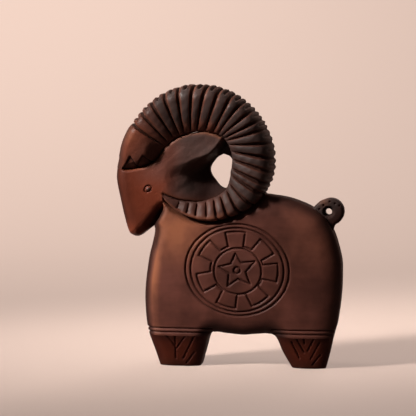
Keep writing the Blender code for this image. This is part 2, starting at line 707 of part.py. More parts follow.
def finish(parts, cutters):
    """Looks and shading, and one root that centres the figure on its own length."""
    root = bpy.data.objects.new("goat_figurine_root", None)
    middle = 0.5 * (min(x for x, _ in FACE_EDGE) + TAIL_X + TAIL_RADIUS)
    root.location = (-middle, 0, 0)
    for obj in (*parts.objects, *cutters.objects):
        obj.parent = root
    for obj in parts.objects:
        colour, roughness = STAINED, 0.42
        if "dowel" in obj.name:
            colour, roughness = BARE_WOOD, 0.70
        elif "horn" in obj.name or "eye" in obj.name:
            colour, roughness = DARK_STAINED, 0.40
        obj.data.materials.append(make_material(f"{obj.name}_wood", colour, roughness))
        obj.data.shade_smooth()
        obj.data.set_sharp_from_angle(angle=math.radians(40))
    for cutter in cutters.objects:
        cutter.hide_render = True
        cutter.display_type = "WIRE"
    parts.objects.link(root)


def main():
    clear_scene()
    parts = make_collection("goat_figurine")
    cutters = make_collection("cutters")
    outlines = leg_and_body_outlines()
    seat, seat_room = build_seat(cutters)
    hoof_holes = build_dowels(hoof_dowel_places(), 2 * HOOF_DOWEL_DEPTH, (0, 0, 1), cutters,
                              "hoof_dowel_holes", parts)
    horn_holes = build_dowels(horn_dowel_places(), 2 * (PLATE_HALF + HORN_DOWEL_DEPTH), (0, 1, 0), cutters,
                              "horn_dowel_holes", parts)
    body = build_body(outlines, seat_room, hoof_holes, parts, cutters)
    build_tail(body, outlines[0], parts, cutters)
    build_head(seat, horn_holes, parts, cutters)
    build_horns(seat_room, horn_holes, parts)
    finish(parts, cutters)


main()
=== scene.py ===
"""Looks of a carved wooden goat figurine: stained body, engraved medallion, ribbed horns.

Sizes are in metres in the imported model's frame: +Z up, the head towards -X, the left side towards -Y.
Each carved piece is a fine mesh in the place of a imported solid, without the joinery hidden inside it.
The carving is cut along its normals.
"""

import math

import bmesh
import bpy
import numpy as np
from bpy.props import FloatProperty, FloatVectorProperty, PointerProperty
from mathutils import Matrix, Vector
from mathutils.geometry import delaunay_2d_cdt, interpolate_bezier


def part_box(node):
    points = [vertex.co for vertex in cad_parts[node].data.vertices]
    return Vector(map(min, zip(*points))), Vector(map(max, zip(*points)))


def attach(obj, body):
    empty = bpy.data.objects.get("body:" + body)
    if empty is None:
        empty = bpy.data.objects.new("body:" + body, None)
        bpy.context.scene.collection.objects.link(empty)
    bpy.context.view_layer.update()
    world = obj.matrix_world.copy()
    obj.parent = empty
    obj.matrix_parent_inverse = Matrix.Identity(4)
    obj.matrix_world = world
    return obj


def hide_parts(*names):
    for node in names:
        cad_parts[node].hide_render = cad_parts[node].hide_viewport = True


bl_info = {
    "name": "Carved goat figurine",
    "version": (1, 0, 0),
    "blender": (4, 5, 0),
    "location": "View3D > Sidebar > Figurine",
    "description": "Carves and stains a wooden goat figurine and sets up its studio",
    "category": "Object",
}

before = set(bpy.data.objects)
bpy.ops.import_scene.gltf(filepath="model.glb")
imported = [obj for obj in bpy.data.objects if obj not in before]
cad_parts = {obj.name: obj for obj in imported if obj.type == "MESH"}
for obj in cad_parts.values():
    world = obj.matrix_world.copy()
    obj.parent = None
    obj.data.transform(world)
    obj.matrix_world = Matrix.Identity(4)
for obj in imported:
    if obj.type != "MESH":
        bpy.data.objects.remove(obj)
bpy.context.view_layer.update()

# Places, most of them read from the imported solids
BODY_LOW, BODY_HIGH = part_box("body")
HORN_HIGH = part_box("left_horn")[1]
HOOF_JOINT_Z = 0.5 * (BODY_LOW.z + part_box("front_hoof")[1].z)
CHEST_X, RUMP_X = BODY_LOW.x, BODY_HIGH.x
HORN_RADIUS = 0.0390
RIB_SWELL = 0.00016
HORN_X = HORN_HIGH.x - HORN_RADIUS - RIB_SWELL
HORN_Z = HORN_HIGH.z - HORN_RADIUS - RIB_SWELL
BACK_Z = HORN_Z - 0.0187
BELLY_Z = HOOF_JOINT_Z + 0.0005
HORN_CENTRE = (HORN_X, HORN_Z)
SIDES = {"left": -1, "right": 1}

# Body and hooves; how far the dome reaches, and how the sole thins, are shares
BODY_HALF = 0.0155
BODY_DOME = 0.0040
SIDE_HALF = 0.0065
EDGE_ROUND = 0.0080
RUMP_ROUND = 0.0110
SOLE_THINNING = 0.25
SOLE_EDGE = 0.08
SOLE_ROUND = 0.0010
DOME_LENGTH = 0.58
DOME_HEIGHT = 0.62
BAND_HEIGHTS = (0.0039, 0.0018)
BAND_OVERRUN = 0.0020
VEIN_LEAST_HALF = 0.0060
MOAT_WIDTH = 0.0024
MOAT_DEPTH = 0.0045
HORN_OVERLAP = 0.0040

# Head
FACE_HALF = 0.0125
MUZZLE_HALF = 0.0100
FACE_SIDE_HALF = 0.0034
FACE_ROUND = 0.0060
EAR_HALF = 0.0130
RECESS_HALF = 0.0022
RECESS_RISE = 0.0082
RECESS_SLOPE = 0.0050
RECESS_START = 0.0020
RECESS_DELAY = 0.0100
RECESS_RUN = 0.0125
RECESS_CURVE = 1.3
FOLD_EARLY = 0.0042
FOLD_SHIFT = 0.0032
FOLD_END = 0.0028
EAR_DISH = 0.0007
VALLEY_HALF = 0.0020
JAW_ROUND = 0.0055
NECK_ROUND = 0.0028
LIP_ROUND = 0.0011
LIP_FOOT_HALF = 0.0075

# Horns, with angles around the curl in degrees and crests as shares of the way from inner edge to rim
HORN_HALF = 0.0185
HORN_TIP_HALF = 0.0135
HORN_INNER_HALF = 0.0120
HORN_TIP_INNER_HALF = 0.0115
HORN_CREST = 0.66
TIP_CREST = 0.84
ROOT_FOOT_HALF = 0.0080
SEAM_HALF = 0.00001
BROW_ROUND = 0.0036
BROW_WIDENING = 0.0070
SECTION_POWER = 0.7
ROOT_ANGLE = 187.5
TIP_ANGLE = -133.0
BROW_ANGLE = 153.0
GROOVES = (151, 140, 129, 116.5, 104.5, 92, 81.5, 71, 60.5, 50, 40.5, 31.5, 23.5, 12.5, 0.6, -10, -19.8,
           -28, -39, -50.5, -61, -69.8, -79.5, -90, -100.5, -112)
GROOVE_SEED = 7

# Tail loop
TAIL_X = RUMP_X - 0.0063
TAIL_Z = BACK_Z - 0.0089
TAIL_RADIUS = 0.0071
TAIL_HALF = 0.0050
TAIL_ROUND = 0.0019
TAIL_BORE = 0.0017
TAIL_DISH = 0.0034
TAIL_DISH_DEPTH = 0.0022

# Eyes
EYE_TILT = math.radians(35)
EYE_WIDE = 0.0021
EYE_HIGH = 0.0015
PUPIL_HALF = (0.0012, 0.0009, 0.0010)
PUPIL_SUNK = 0.0003

# Depth of the unevenness that a hand tool leaves
BODY_DENT = 0.00008
FACE_DENT = 0.00006
EAR_DENT = 0.00045
EAR_FINE_DENT = 0.00010
HORN_DENT = 0.00012
HORN_FINE_DENT = 0.00004
RIB_DENT = 0.00009

# Mesh fineness
CURVE_STEPS = 10
STRETCH_STEPS = 8
NEAR_CUT = 0.0011
FAR_CUT = 0.0022
EDGE_STEP = 0.0006
COARSE_GRID = 0.0011
MEDIUM_GRID = 0.00055
FINE_GRID = 0.00028
BODY_GRIDS = (COARSE_GRID, MEDIUM_GRID, FINE_GRID)
HEAD_GRIDS = (MEDIUM_GRID, MEDIUM_GRID, FINE_GRID)
TAIL_GRIDS = (0.0004, 0.0003, 0.0002)
EDGE_ANGLES = (12, 24, 36, 50, 64, 78, 90)
HORN_STATIONS = 760
RISE_STEPS = 40
FALL_STEPS = 34
SHARP_ANGLE = math.radians(55)
RING_ROOM = 0.95
HOLE_MARGIN = 0.0002
WELD_DISTANCE = 1e-7
DOT_LENGTH = 1e-6

# Shape of the cuts
CUT_CURVE = 1.25
CHIP_SLOPE = 1.1


# Outline helpers

def smooth_path(points, steps=CURVE_STEPS):
    """Points along a smooth curve through the given (x, z) points."""
    knots = [Vector(point) for point in points]
    path = [knots[0]]
    for i in range(len(knots) - 1):
        start, end = knots[i], knots[i + 1]
        reach = (end - start).length / 3
        leave = (end - knots[max(i - 1, 0)]).normalized() * reach
        arrive = (knots[min(i + 2, len(knots) - 1)] - start).normalized() * reach
        path += interpolate_bezier(start, start + leave, end - arrive, end, steps + 1)[1:]
    return [(point[0], point[1]) for point in path]


def from_place(place, offsets):
    """Points given as offsets in millimetres from a place."""
    return [(place[0] + 0.001 * x, place[1] + 0.001 * z) for x, z in offsets]


def turned(place, x, z, tilt):
    """The point at an offset from a place, after the offset is turned by an angle."""
    return (place[0] + x * math.cos(tilt) - z * math.sin(tilt),
            place[1] + x * math.sin(tilt) + z * math.cos(tilt))


def oval(place, wide, high, steps, tilt=0.0):
    """Points around an oval with the given half width and half height."""
    turns = np.linspace(0, 2 * math.pi, steps, endpoint=False)
    return [turned(place, wide * math.cos(turn), high * math.sin(turn), tilt) for turn in turns]


def distance_to_path(points, path, closed=False, reach=0.012):
    """Distance from each (x, z) point to the nearest stretch of a path, counted up to a reach."""
    line = np.asarray([*path, path[0]] if closed else path, float)
    result = np.full(len(points), reach)
    for first in range(0, len(line) - 1, STRETCH_STEPS):
        stretch = line[first:first + STRETCH_STEPS + 1]
        near = ((points > stretch.min(0) - reach) & (points < stretch.max(0) + reach)).all(1)
        starts, along = stretch[:-1], np.diff(stretch, axis=0)
        square = np.maximum((along ** 2).sum(1), 1e-18)
        offset = points[near][:, None] - starts
        share = np.clip((offset * along).sum(2) / square, 0, 1)
        gap = np.sqrt(((offset - share[..., None] * along) ** 2).sum(2)).min(1)
        result[near] = np.minimum(result[near], gap)
    return result


def inside_outline(points, outline):
    """Which (x, z) points lie inside a closed outline."""
    inside = np.zeros(len(points), bool)
    for (xa, za), (xb, zb) in zip(outline, outline[1:] + outline[:1]):
        if za == zb:
            continue
        spans = (za > points[:, 1]) != (zb > points[:, 1])
        inside ^= spans & (points[:, 0] < xa + (points[:, 1] - za) * (xb - xa) / (zb - za))
    return inside


def inward_offset(outline, distance):
    """A closed outline moved inwards, or outwards with a negative distance."""
    loop = np.asarray(outline)
    chord = np.roll(loop, -1, 0) - np.roll(loop, 1, 0)
    chord /= np.maximum(np.linalg.norm(chord, axis=1), 1e-12)[:, None]
    after = np.roll(loop, -1, 0)
    area = (loop[:, 0] * after[:, 1] - loop[:, 1] * after[:, 0]).sum()
    normal = np.stack([-chord[:, 1], chord[:, 0]], 1) * math.copysign(1, area)
    return loop + normal * distance


def divided(outline, longest):
    """A closed outline with its long runs divided evenly and its repeated points left out."""
    result = []
    for start, end in zip(outline, outline[1:] + outline[:1]):
        count = math.ceil(math.dist(start, end) / longest - 0.001)
        result += [tuple(Vector(start).lerp(Vector(end), i / count)) for i in range(count)]
    return result


def split_path(path, height):
    """The stretches of a path before and after it first crosses a height."""
    for i in range(len(path) - 1):
        (xa, za), (xb, zb) = path[i], path[i + 1]
        if (za - height) * (zb - height) <= 0 and za != zb:
            point = (xa + (height - za) / (zb - za) * (xb - xa), height)
            return path[:i + 1] + [point], [point] + path[i + 1:]
    raise ValueError("the path never reaches this height")


def smooth_step(low, high, value):
    """0 up to the low value, rising smoothly to 1 at the high one."""
    share = np.clip((value - low) / (high - low), 0, 1)
    return share * share * (3 - 2 * share)


def fade_out(low, high, value):
    """1 up to the low value, falling smoothly to 0 at the high one."""
    return 1 - smooth_step(low, high, value)


def bell(middle, width, value):
    """1 at the middle, falling off to both sides."""
    return np.exp(-((value - middle) / width) ** 2)


def rounded(depth, radius):
    """Share of full height at a depth inside a rounded edge."""
    return np.sqrt(1 - (1 - np.clip(depth / radius, 0, 1)) ** 2)


def by_angle(table, degrees):
    """A value looked up and blended in a table keyed by angle."""
    keys = sorted(table)
    return np.interp(degrees, keys, [table[key] for key in keys])


# Horn curves

# How far each groove leans at its inner end, and the radius of that end, by angle
GROOVE_LEAN = {188: 0, 151: 8, 140: 11, 129: 9, 116: 9, 104: 12, 92: 9.5, 81: 6, 71: 0, 60: -4.5, 50: -2.5,
               40: 0.5, 31: 4, 24: 6, 12: 10.5, 0: 11, -10: 8.5, -20: 5, -28: 3, -39: 2.5, -50: 5, -61: 4.5,
               -80: 2.7, -100: 0.5, -133: 0}
INNER_RADIUS = {165: 0.0184, 153: 0.0164, 124: 0.0141, 105: 0.0138, 88: 0.0139, 61: 0.0155, 37: 0.0180,
                15: 0.0186, -20: 0.0192, -46: 0.0224, -71: 0.0223, -98: 0.0227, -122: 0.0243, -133: 0.0254}


def rim_radius(degrees):
    """Outer radius: widest at the root, full at the back, drawn in along the lower curl."""
    gain = 0.0032 * smooth_step(140, 185, degrees) + 0.0012 * smooth_step(180, 188, degrees)
    bulge = 0.0013 * bell(-8, 26, degrees)
    loss = 0.0128 * np.clip((-35 - degrees) / 100, 0, 1)
    return HORN_RADIUS + gain + bulge - loss


def polar(degrees, radius):
    """The (x, z) points at the given angles and radii around the curl's centre."""
    turn = np.radians(degrees)
    return np.stack([HORN_X + radius * np.cos(turn), HORN_Z + radius * np.sin(turn)], -1)


def around_horn(points):
    """Angle of each (x, z) point around the curl, in degrees, and its distance outside the horn's rim."""
    across, up = (points - HORN_CENTRE).T
    turn = np.degrees(np.arctan2(up, across))
    return turn, np.hypot(across, up) - rim_radius(turn)


def curl_edge(degrees):
    """The horn's inner edge at an angle around the curl."""
    return polar(degrees, by_angle(INNER_RADIUS, degrees))


BROW_INNER = BROW_ANGLE + float(by_angle(GROOVE_LEAN, BROW_ANGLE))
BROW_LINE = smooth_path([
    tuple(curl_edge(BROW_INNER)),
    *from_place(HORN_CENTRE, [(-18.6, 3.2), (-21.7, -1.0), (-24.3, -2.7), (-27.8, -4.2), (-33.4, -5.4),
                              (-38.0, -5.9), (-42.9, -5.3)]),
])


def inner_edge(degrees):
    """Where each section across the horn ends: on the brow line at the root, then on the curl's edge."""
    degrees = np.asarray(degrees)
    line = np.asarray(BROW_LINE)
    run = np.concatenate([[0], np.cumsum(np.linalg.norm(np.diff(line, axis=0), axis=1))])
    share = np.clip((degrees - BROW_ANGLE) / (ROOT_ANGLE - BROW_ANGLE), 0, 1) * run[-1]
    on_brow = np.stack([np.interp(share, run, line[:, 0]), np.interp(share, run, line[:, 1])], -1)
    leaning = np.maximum(degrees + by_angle(GROOVE_LEAN, degrees), TIP_ANGLE)
    return np.where((degrees > BROW_ANGLE)[..., None], on_brow, curl_edge(leaning))


# Outlines that show: throat and chest, arch, rump and back, face, tail

HORN_TIP = tuple(polar(TIP_ANGLE, rim_radius(TIP_ANGLE)))
NOTCH = (HORN_X - 0.0236, HORN_Z - 0.0354)
FRONT_LEG = (CHEST_X + 0.0022, CHEST_X + 0.0341)
FRONT_SOLE = (FRONT_LEG[0] + 0.0055, FRONT_LEG[0] + 0.0271)
REAR_LEG = (RUMP_X - 0.0345, RUMP_X - 0.0043)
REAR_SOLE = (REAR_LEG[1] - 0.0216, REAR_LEG[1] - 0.0039)
VALLEY = smooth_path([
    HORN_TIP,
    (0.55 * HORN_TIP[0] + 0.45 * NOTCH[0] + 0.0024, 0.6 * HORN_TIP[1] + 0.4 * NOTCH[1]),
    NOTCH,
])
CHEST_FRONT = smooth_path([
    NOTCH,
    (NOTCH[0] + 0.0010, NOTCH[1] - 0.0020),
    (CHEST_X + 0.0042, NOTCH[1] - 0.0085),
    (CHEST_X + 0.0024, NOTCH[1] - 0.0157),
    (CHEST_X + 0.0006, NOTCH[1] - 0.0272),
    (CHEST_X, NOTCH[1] - 0.0382),
    (CHEST_X + 0.0003, HOOF_JOINT_Z + 0.0110),
    (FRONT_LEG[0] - 0.0008, HOOF_JOINT_Z + 0.0035),
    (FRONT_LEG[0], HOOF_JOINT_Z),
    (FRONT_SOLE[0] - 0.0022, 0.42 * HOOF_JOINT_Z),
    (FRONT_SOLE[0], 0.0),
])
CHEST_EDGE = VALLEY[:-1] + CHEST_FRONT
ARCH_EDGE = smooth_path([
    (FRONT_SOLE[1], 0.0),
    (0.45 * FRONT_SOLE[1] + 0.55 * FRONT_LEG[1], 0.6 * HOOF_JOINT_Z),
    (FRONT_LEG[1], HOOF_JOINT_Z),
    (FRONT_LEG[1] + 0.0036, BELLY_Z + 0.0013),
    (FRONT_LEG[1] + 0.0092, BELLY_Z + 0.0007),
    (0.5 * (FRONT_LEG[1] + REAR_LEG[0]), BELLY_Z),
    (REAR_LEG[0] - 0.0088, BELLY_Z + 0.0007),
    (REAR_LEG[0] - 0.0034, BELLY_Z + 0.0008),
    (REAR_LEG[0], HOOF_JOINT_Z),
    (0.55 * REAR_LEG[0] + 0.45 * REAR_SOLE[0], 0.5 * HOOF_JOINT_Z),
    (REAR_SOLE[0], 0.0),
])
RUMP_EDGE = smooth_path([
    (REAR_SOLE[1], 0.0),
    (REAR_LEG[1] - 0.0020, 0.45 * HOOF_JOINT_Z),
    (REAR_LEG[1], HOOF_JOINT_Z),
    (RUMP_X - 0.0024, HOOF_JOINT_Z + 0.0070),
    (RUMP_X - 0.0005, HOOF_JOINT_Z + 0.0215),
    (RUMP_X, HOOF_JOINT_Z + 0.0325),
    (RUMP_X - 0.0006, BACK_Z - 0.0334),
    (RUMP_X - 0.0040, BACK_Z - 0.0209),
    (RUMP_X - 0.0093, BACK_Z - 0.0118),
    (RUMP_X - 0.0148, BACK_Z - 0.0074),
    (RUMP_X - 0.0224, BACK_Z - 0.0038),
    (RUMP_X - 0.0290, BACK_Z - 0.0018),
    (RUMP_X - 0.0400, BACK_Z),
])
FACE_FRONT = smooth_path([
    (HORN_X - 0.0431, HORN_Z - 0.0053),
    (HORN_X - 0.0434, HORN_Z - 0.0111),
    (HORN_X - 0.0416, HORN_Z - 0.0207),
    (HORN_X - 0.0394, HORN_Z - 0.0308),
    (HORN_X - 0.0368, HORN_Z - 0.0393),
    (HORN_X - 0.0343, HORN_Z - 0.0411),
    (HORN_X - 0.0315, HORN_Z - 0.0413),
    (HORN_X - 0.0285, HORN_Z - 0.0392),
    NOTCH,
])
FACE_EDGE = FACE_FRONT + VALLEY[-2::-1]
ROOT_TURNS = np.linspace(BROW_ANGLE - 20, ROOT_ANGLE, 60)
PROFILE = [tuple(point) for point in polar(ROOT_TURNS, rim_radius(ROOT_TURNS))] + FACE_FRONT
TAIL_ARC = [(TAIL_X + TAIL_RADIUS * math.cos(turn), TAIL_Z + TAIL_RADIUS * math.sin(turn))
            for turn in np.linspace(math.radians(-65), math.radians(112), 60)]
TAIL_EDGE = smooth_path([
    (TAIL_X + 0.0013, TAIL_Z - 0.0105),
    (TAIL_X + 0.0020, TAIL_Z - 0.0078),
    TAIL_ARC[0],
])[:-1] + TAIL_ARC + smooth_path([
    TAIL_ARC[-1],
    (TAIL_X - 0.0056, TAIL_Z + 0.0053),
    (TAIL_X - 0.0088, TAIL_Z + 0.0024),
    (TAIL_X - 0.0108, TAIL_Z + 0.0004),
])[1:]
EAR_HOLE = smooth_path(from_place(HORN_CENTRE, [
    (13.1, 2.6), (17.3, 0.4), (18.6, -4.8), (17.3, -11.1), (13.8, -15.8), (8.6, -11.4), (6.0, -5.6),
    (8.5, -0.3), (13.1, 2.6),
]))[:-1]
EAR_FOLD = smooth_path(from_place(HORN_CENTRE, [
    (-20.0, -10.0), (-12.5, -7.5), (-6.4, -6.2), (-0.3, -3.8), (4.2, -0.9), (8.1, 2.8), (11.8, 7.3),
    (16.0, 13.0),
]))
HORN_BORDER = [tuple(point) for point in curl_edge(np.linspace(TIP_ANGLE, BROW_INNER, 260))] + BROW_LINE[1:-1]
HEAD_EDGE = FACE_EDGE[:-1] + HORN_BORDER
ZIGZAG = from_place(HORN_CENTRE, [
    (-38.4, -5.4), (-34.4, 0.8), (-31.0, -4.6), (-27.2, 1.2), (-23.4, -2.0),
])
BORE_SPOT = (TAIL_X - 0.0009, TAIL_Z)
TAIL_DOTS = from_place((TAIL_X, TAIL_Z), [(-0.3, 5.4), (-3.5, 3.4), (-5.6, 1.4), (2.4, 4.4), (4.7, 3.3)])
MEDALLION = (0.5 * (CHEST_X + RUMP_X) - 0.0020, BELLY_Z + 0.0348)
ROOT_LIT = (HORN_X - 0.0349, HORN_Z + 0.0130)
EYE_SPOT = (HORN_X - 0.0254, HORN_Z - 0.0159)


def leg_and_body_outlines():
    """Closed outlines of the body, which runs on under the horns, and of the two hooves."""
    chest, front_below = split_path(CHEST_EDGE, HOOF_JOINT_Z)
    front_above, arch_rest = split_path(ARCH_EDGE, HOOF_JOINT_Z)
    rear_above, arch = split_path(arch_rest[::-1], HOOF_JOINT_Z)
    rear_below, rump = split_path(RUMP_EDGE, HOOF_JOINT_Z)
    turns = np.linspace(-27, TIP_ANGLE + 8, 40)
    inset = np.minimum(HORN_OVERLAP, 0.6 * (rim_radius(turns) - by_angle(INNER_RADIUS, turns)))
    under_horn = [tuple(point) for point in polar(turns, rim_radius(turns) - inset)]
    body = chest + arch[::-1] + rump + under_horn
    return body, front_below + front_above, rear_above[::-1] + rear_below


# Carved heights: how far each surface stands from the middle plane

def flank_half(points):
    """Half thickness of body and legs: domed flanks, rounded edges, drawn-in hooves, a moat at the horn."""
    x, z = points.T
    across = (x - 0.5 * (CHEST_X + RUMP_X)) / (DOME_LENGTH * (RUMP_X - CHEST_X))
    upward = (z - 0.5 * (BELLY_Z + BACK_Z)) / (DOME_HEIGHT * (BACK_Z - BELLY_Z))
    dome = BODY_DOME * np.clip(1 - across ** 2, 0, 1) * np.clip(1 - upward ** 2, 0, 1)
    drawn_in = 1 - SOLE_THINNING * np.clip(1 - z / HOOF_JOINT_Z, 0, 1)
    drawn_in = drawn_in * (1 - SOLE_EDGE + SOLE_EDGE * rounded(z, SOLE_ROUND))
    crown = (BODY_HALF - BODY_DOME + dome) * drawn_in
    side = SIDE_HALF * drawn_in
    turn, gap = around_horn(points)
    moat = MOAT_DEPTH * fade_out(-0.0005, MOAT_WIDTH, gap)
    moat *= smooth_step(-20, -32, turn) * (turn > TIP_ANGLE - 6)
    depth = np.min([distance_to_path(points, edge) for edge in (CHEST_FRONT, ARCH_EDGE, RUMP_EDGE)], 0)
    rump = distance_to_path(points, RUMP_EDGE, reach=0.02)
    edge = np.minimum(rounded(depth, EDGE_ROUND), rounded(rump, RUMP_ROUND))
    return valley_cut(points, side + (crown - side) * edge - moat, NECK_ROUND)


def valley_cut(points, height, radius):
    """Lets a height fall into the cleft between jaw and neck, which opens downwards."""
    opening = smooth_step(HORN_Z - 0.0215, HORN_Z - 0.0280, points[:, 1])
    bottom = height + (np.minimum(VALLEY_HALF, height) - height) * opening
    return bottom + (height - bottom) * rounded(distance_to_path(points, VALLEY), radius)


def brow_share(x):
    """How open the crease of the brow is: closed at the profile, open towards the ear."""
    return smooth_step(HORN_X - 0.0398, HORN_X - 0.0368, x)


def root_half(points, full):
    """Half thickness of a horn's root, which runs into the face and dips at the brow, widest by the ear."""
    widening = BROW_WIDENING * smooth_step(HORN_X - 0.033, HORN_X - 0.020, points[:, 0])
    crease = rounded(distance_to_path(points, BROW_LINE), BROW_ROUND + widening)
    dip = (full - ROOT_FOOT_HALF) * (1 - crease) * brow_share(points[:, 0])
    front = rounded(distance_to_path(points, PROFILE), FACE_ROUND)
    return FACE_SIDE_HALF + (full - dip - FACE_SIDE_HALF) * front


def fold_height(x):
    """Height of the fold below the ear at each place along the head."""
    fold_x, fold_z = np.asarray(EAR_FOLD).T
    return np.interp(x, fold_x, fold_z)


def head_half(points):
    """Half thickness of face, ear and the hollow below the ear, with a lip along the horn."""
    x, z = points.T
    across, up = x - HORN_X, z - HORN_Z
    below = np.where(z < fold_height(x), 1, -1) * distance_to_path(points, EAR_FOLD, reach=0.030)
    face = MUZZLE_HALF + (FACE_HALF - MUZZLE_HALF) * smooth_step(-0.038, -0.012, up)
    ear = face + (EAR_HALF - face) * smooth_step(-0.022, -0.008, across)
    border = distance_to_path(points, HORN_BORDER)
    dish = EAR_DISH * smooth_step(0.0015, 0.0060, border) * smooth_step(-0.018, -0.010, across)
    start = RECESS_START + RECESS_DELAY * smooth_step(-0.010, 0.010, across)
    rise = np.clip((below - start) / RECESS_RUN, 0, 1) ** RECESS_CURVE
    deep = RECESS_HALF + RECESS_SLOPE * fade_out(-0.008, 0.007, across)
    floor = deep + (RECESS_HALF + RECESS_RISE - deep) * rise
    onset = FOLD_SHIFT * smooth_step(-0.002, 0.009, across) - FOLD_EARLY
    hollow = smooth_step(onset, FOLD_END, below) * smooth_step(-0.0175, -0.0005, across)
    height = ear - dish + (floor - ear + dish) * hollow
    front = rounded(distance_to_path(points, PROFILE), FACE_ROUND)
    height = valley_cut(points, FACE_SIDE_HALF + (height - FACE_SIDE_HALF) * front, JAW_ROUND)
    lip_foot = height + (np.minimum(height, LIP_FOOT_HALF) - height) * brow_share(x)
    return lip_foot + (height - lip_foot) * rounded(border, LIP_ROUND)


def tail_half(points):
    """Half thickness of the tail loop: rounded rim and a dish around the bore."""
    hole = np.hypot(points[:, 0] - BORE_SPOT[0], points[:, 1] - BORE_SPOT[1])
    dish = TAIL_DISH_DEPTH * fade_out(TAIL_BORE, TAIL_DISH, hole)
    side = TAIL_HALF - TAIL_ROUND
    return side + TAIL_ROUND * rounded(distance_to_path(points, TAIL_EDGE), TAIL_ROUND) - dish


# Engraved strokes: (path, closed)

# The medallion: half widths and heights of its ovals, angles of its teeth, and angle and reach of star points
MEDALLION_TILT = math.radians(-5)
OUTER_RING, INNER_RING = (0.0272, 0.0239), (0.0244, 0.0219)
TOOTH_TOP, TOOTH_FOOT = (0.0214, 0.0200), (0.0139, 0.0128)
STAR_CIRCLE, STAR_FOOT, STAR_BOSS = (0.0124, 0.0120), (0.0047, 0.0045), (0.00165, 0.00165)
STAR_CIRCLE_SHIFT = (0.0004, -0.0005)
TEETH = (92, 40.6, -3.0, -54.8, -106.6, -158.8, -215.1)
TOOTH_TOP_HALF, TOOTH_FOOT_HALF = 14, 16.5
STAR_POINTS = ((95, 0.0088), (27, 0.0104), (-46, 0.0100), (-120, 0.0096), (-190, 0.0096))


def medallion_strokes():
    """Two rings, a crenellated band of seven teeth, a circle, a five-pointed star and a boss."""

    def spot(degrees, wide, high):
        turn = math.radians(degrees) - MEDALLION_TILT
        return turned(MEDALLION, wide * math.cos(turn), high * math.sin(turn), MEDALLION_TILT)

    def ring(halves, steps):
        return [spot(360 * i / steps, *halves) for i in range(steps)]

    band = []
    for middle, after in zip(TEETH, TEETH[1:] + (TEETH[0] - 360,)):
        top = np.linspace(middle + TOOTH_TOP_HALF, middle - TOOTH_TOP_HALF, 7)
        foot = np.linspace(middle - TOOTH_FOOT_HALF, after + TOOTH_FOOT_HALF, 6)
        band += [spot(turn, *TOOTH_TOP) for turn in top] + [spot(turn, *TOOTH_FOOT) for turn in foot]
    star = []
    for (turn, reach), (after, _) in zip(STAR_POINTS, STAR_POINTS[1:] + ((STAR_POINTS[0][0] - 360, 0),)):
        star += [spot(turn, reach, reach), spot(0.5 * (turn + after), *STAR_FOOT)]
    circle = [(x + STAR_CIRCLE_SHIFT[0], z + STAR_CIRCLE_SHIFT[1]) for x, z in ring(STAR_CIRCLE, 72)]
    loops = (ring(OUTER_RING, 120), ring(INNER_RING, 120), band, circle, star, ring(STAR_BOSS, 24))
    return [(loop, True) for loop in loops]


def band_strokes():
    """Two grooves around each leg above its hoof."""
    strokes = []
    for leg in (FRONT_LEG, REAR_LEG):
        for height in BAND_HEIGHTS:
            z = HOOF_JOINT_Z + height
            strokes.append(([(leg[0] - BAND_OVERRUN, z), (leg[1] + BAND_OVERRUN, z)], False))
    return strokes


def hoof_strokes():
    """Leaf veins cut on the hooves, as offsets in millimetres from the middle of each hoof's top."""
    front, rear = [(0.5 * sum(leg), HOOF_JOINT_Z) for leg in (FRONT_LEG, REAR_LEG)]
    front_veins = ([(-1.4, 0.6), (-1.5, -12.2)], [(4.4, 0.5), (-1.0, -7.2)], [(9.0, 0.3), (2.5, -12.5)],
                   [(8.6, -8.9), (4.2, -14.8)], [(-6.8, 0.9), (-3.0, -3.3), (-1.9, -5.6)])
    rear_veins = ([(-6.2, -2.2), (-2.2, -11.0)], [(-3.7, 0.0), (0.3, -7.7)], [(0.0, 0.3), (0.6, -3.0)],
                  [(5.7, 0.2), (2.1, -6.9)], [(8.3, -2.3), (3.7, -11.3)], [(8.8, -8.8), (4.7, -14.3)])
    return ([(from_place(front, vein), False) for vein in front_veins]
            + [(from_place(rear, vein), False) for vein in rear_veins])


def stroke_depth(points, strokes, width, depth):
    """Depth of a V cut of the given width at each point, with softened shoulders."""
    nearest = np.min([distance_to_path(points, path, closed, width) for path, closed in strokes], 0)
    return depth * np.clip(1 - nearest / (0.5 * width), 0, 1) ** CUT_CURVE


def chip_depth(points, corners, depth):
    """A triangular chip cut that is deepest at its middle."""
    inner = distance_to_path(points, corners, closed=True) * inside_outline(points, corners)
    return np.minimum(inner * CHIP_SLOPE, depth)


def hand_waves(x, y, z):
    """Slow unevenness left by a hand tool, from -1 to 1."""
    return (np.sin(310 * x + 2.0 * np.sin(170 * z)) + np.sin(260 * z + 190 * y + 1.7)
            + np.sin(430 * x - 370 * z + 0.6)) / 3


# Mesh builders

def new_object(name, vertices, faces):
    """A smooth object in the scene, without loose vertices and with its sharp edges marked."""
    mesh = bpy.data.meshes.new(name)
    mesh.from_pydata(np.asarray(vertices).tolist(), [], faces)
    bm = bmesh.new()
    bm.from_mesh(mesh)
    bmesh.ops.delete(bm, geom=[vert for vert in bm.verts if not vert.link_faces], context="VERTS")
    bmesh.ops.recalc_face_normals(bm, faces=bm.faces)
    bm.to_mesh(mesh)
    bm.free()
    mesh.shade_smooth()
    mesh.set_sharp_from_angle(angle=SHARP_ANGLE)
    obj = bpy.data.objects.new(name, mesh)
    bpy.context.scene.collection.objects.link(obj)
    return obj


def coordinates(obj):
    """An object's vertices as an array of x, y and z."""
    flat = np.empty(3 * len(obj.data.vertices), np.float32)
    obj.data.vertices.foreach_get("co", flat)
    return flat.reshape(-1, 3).astype(float)


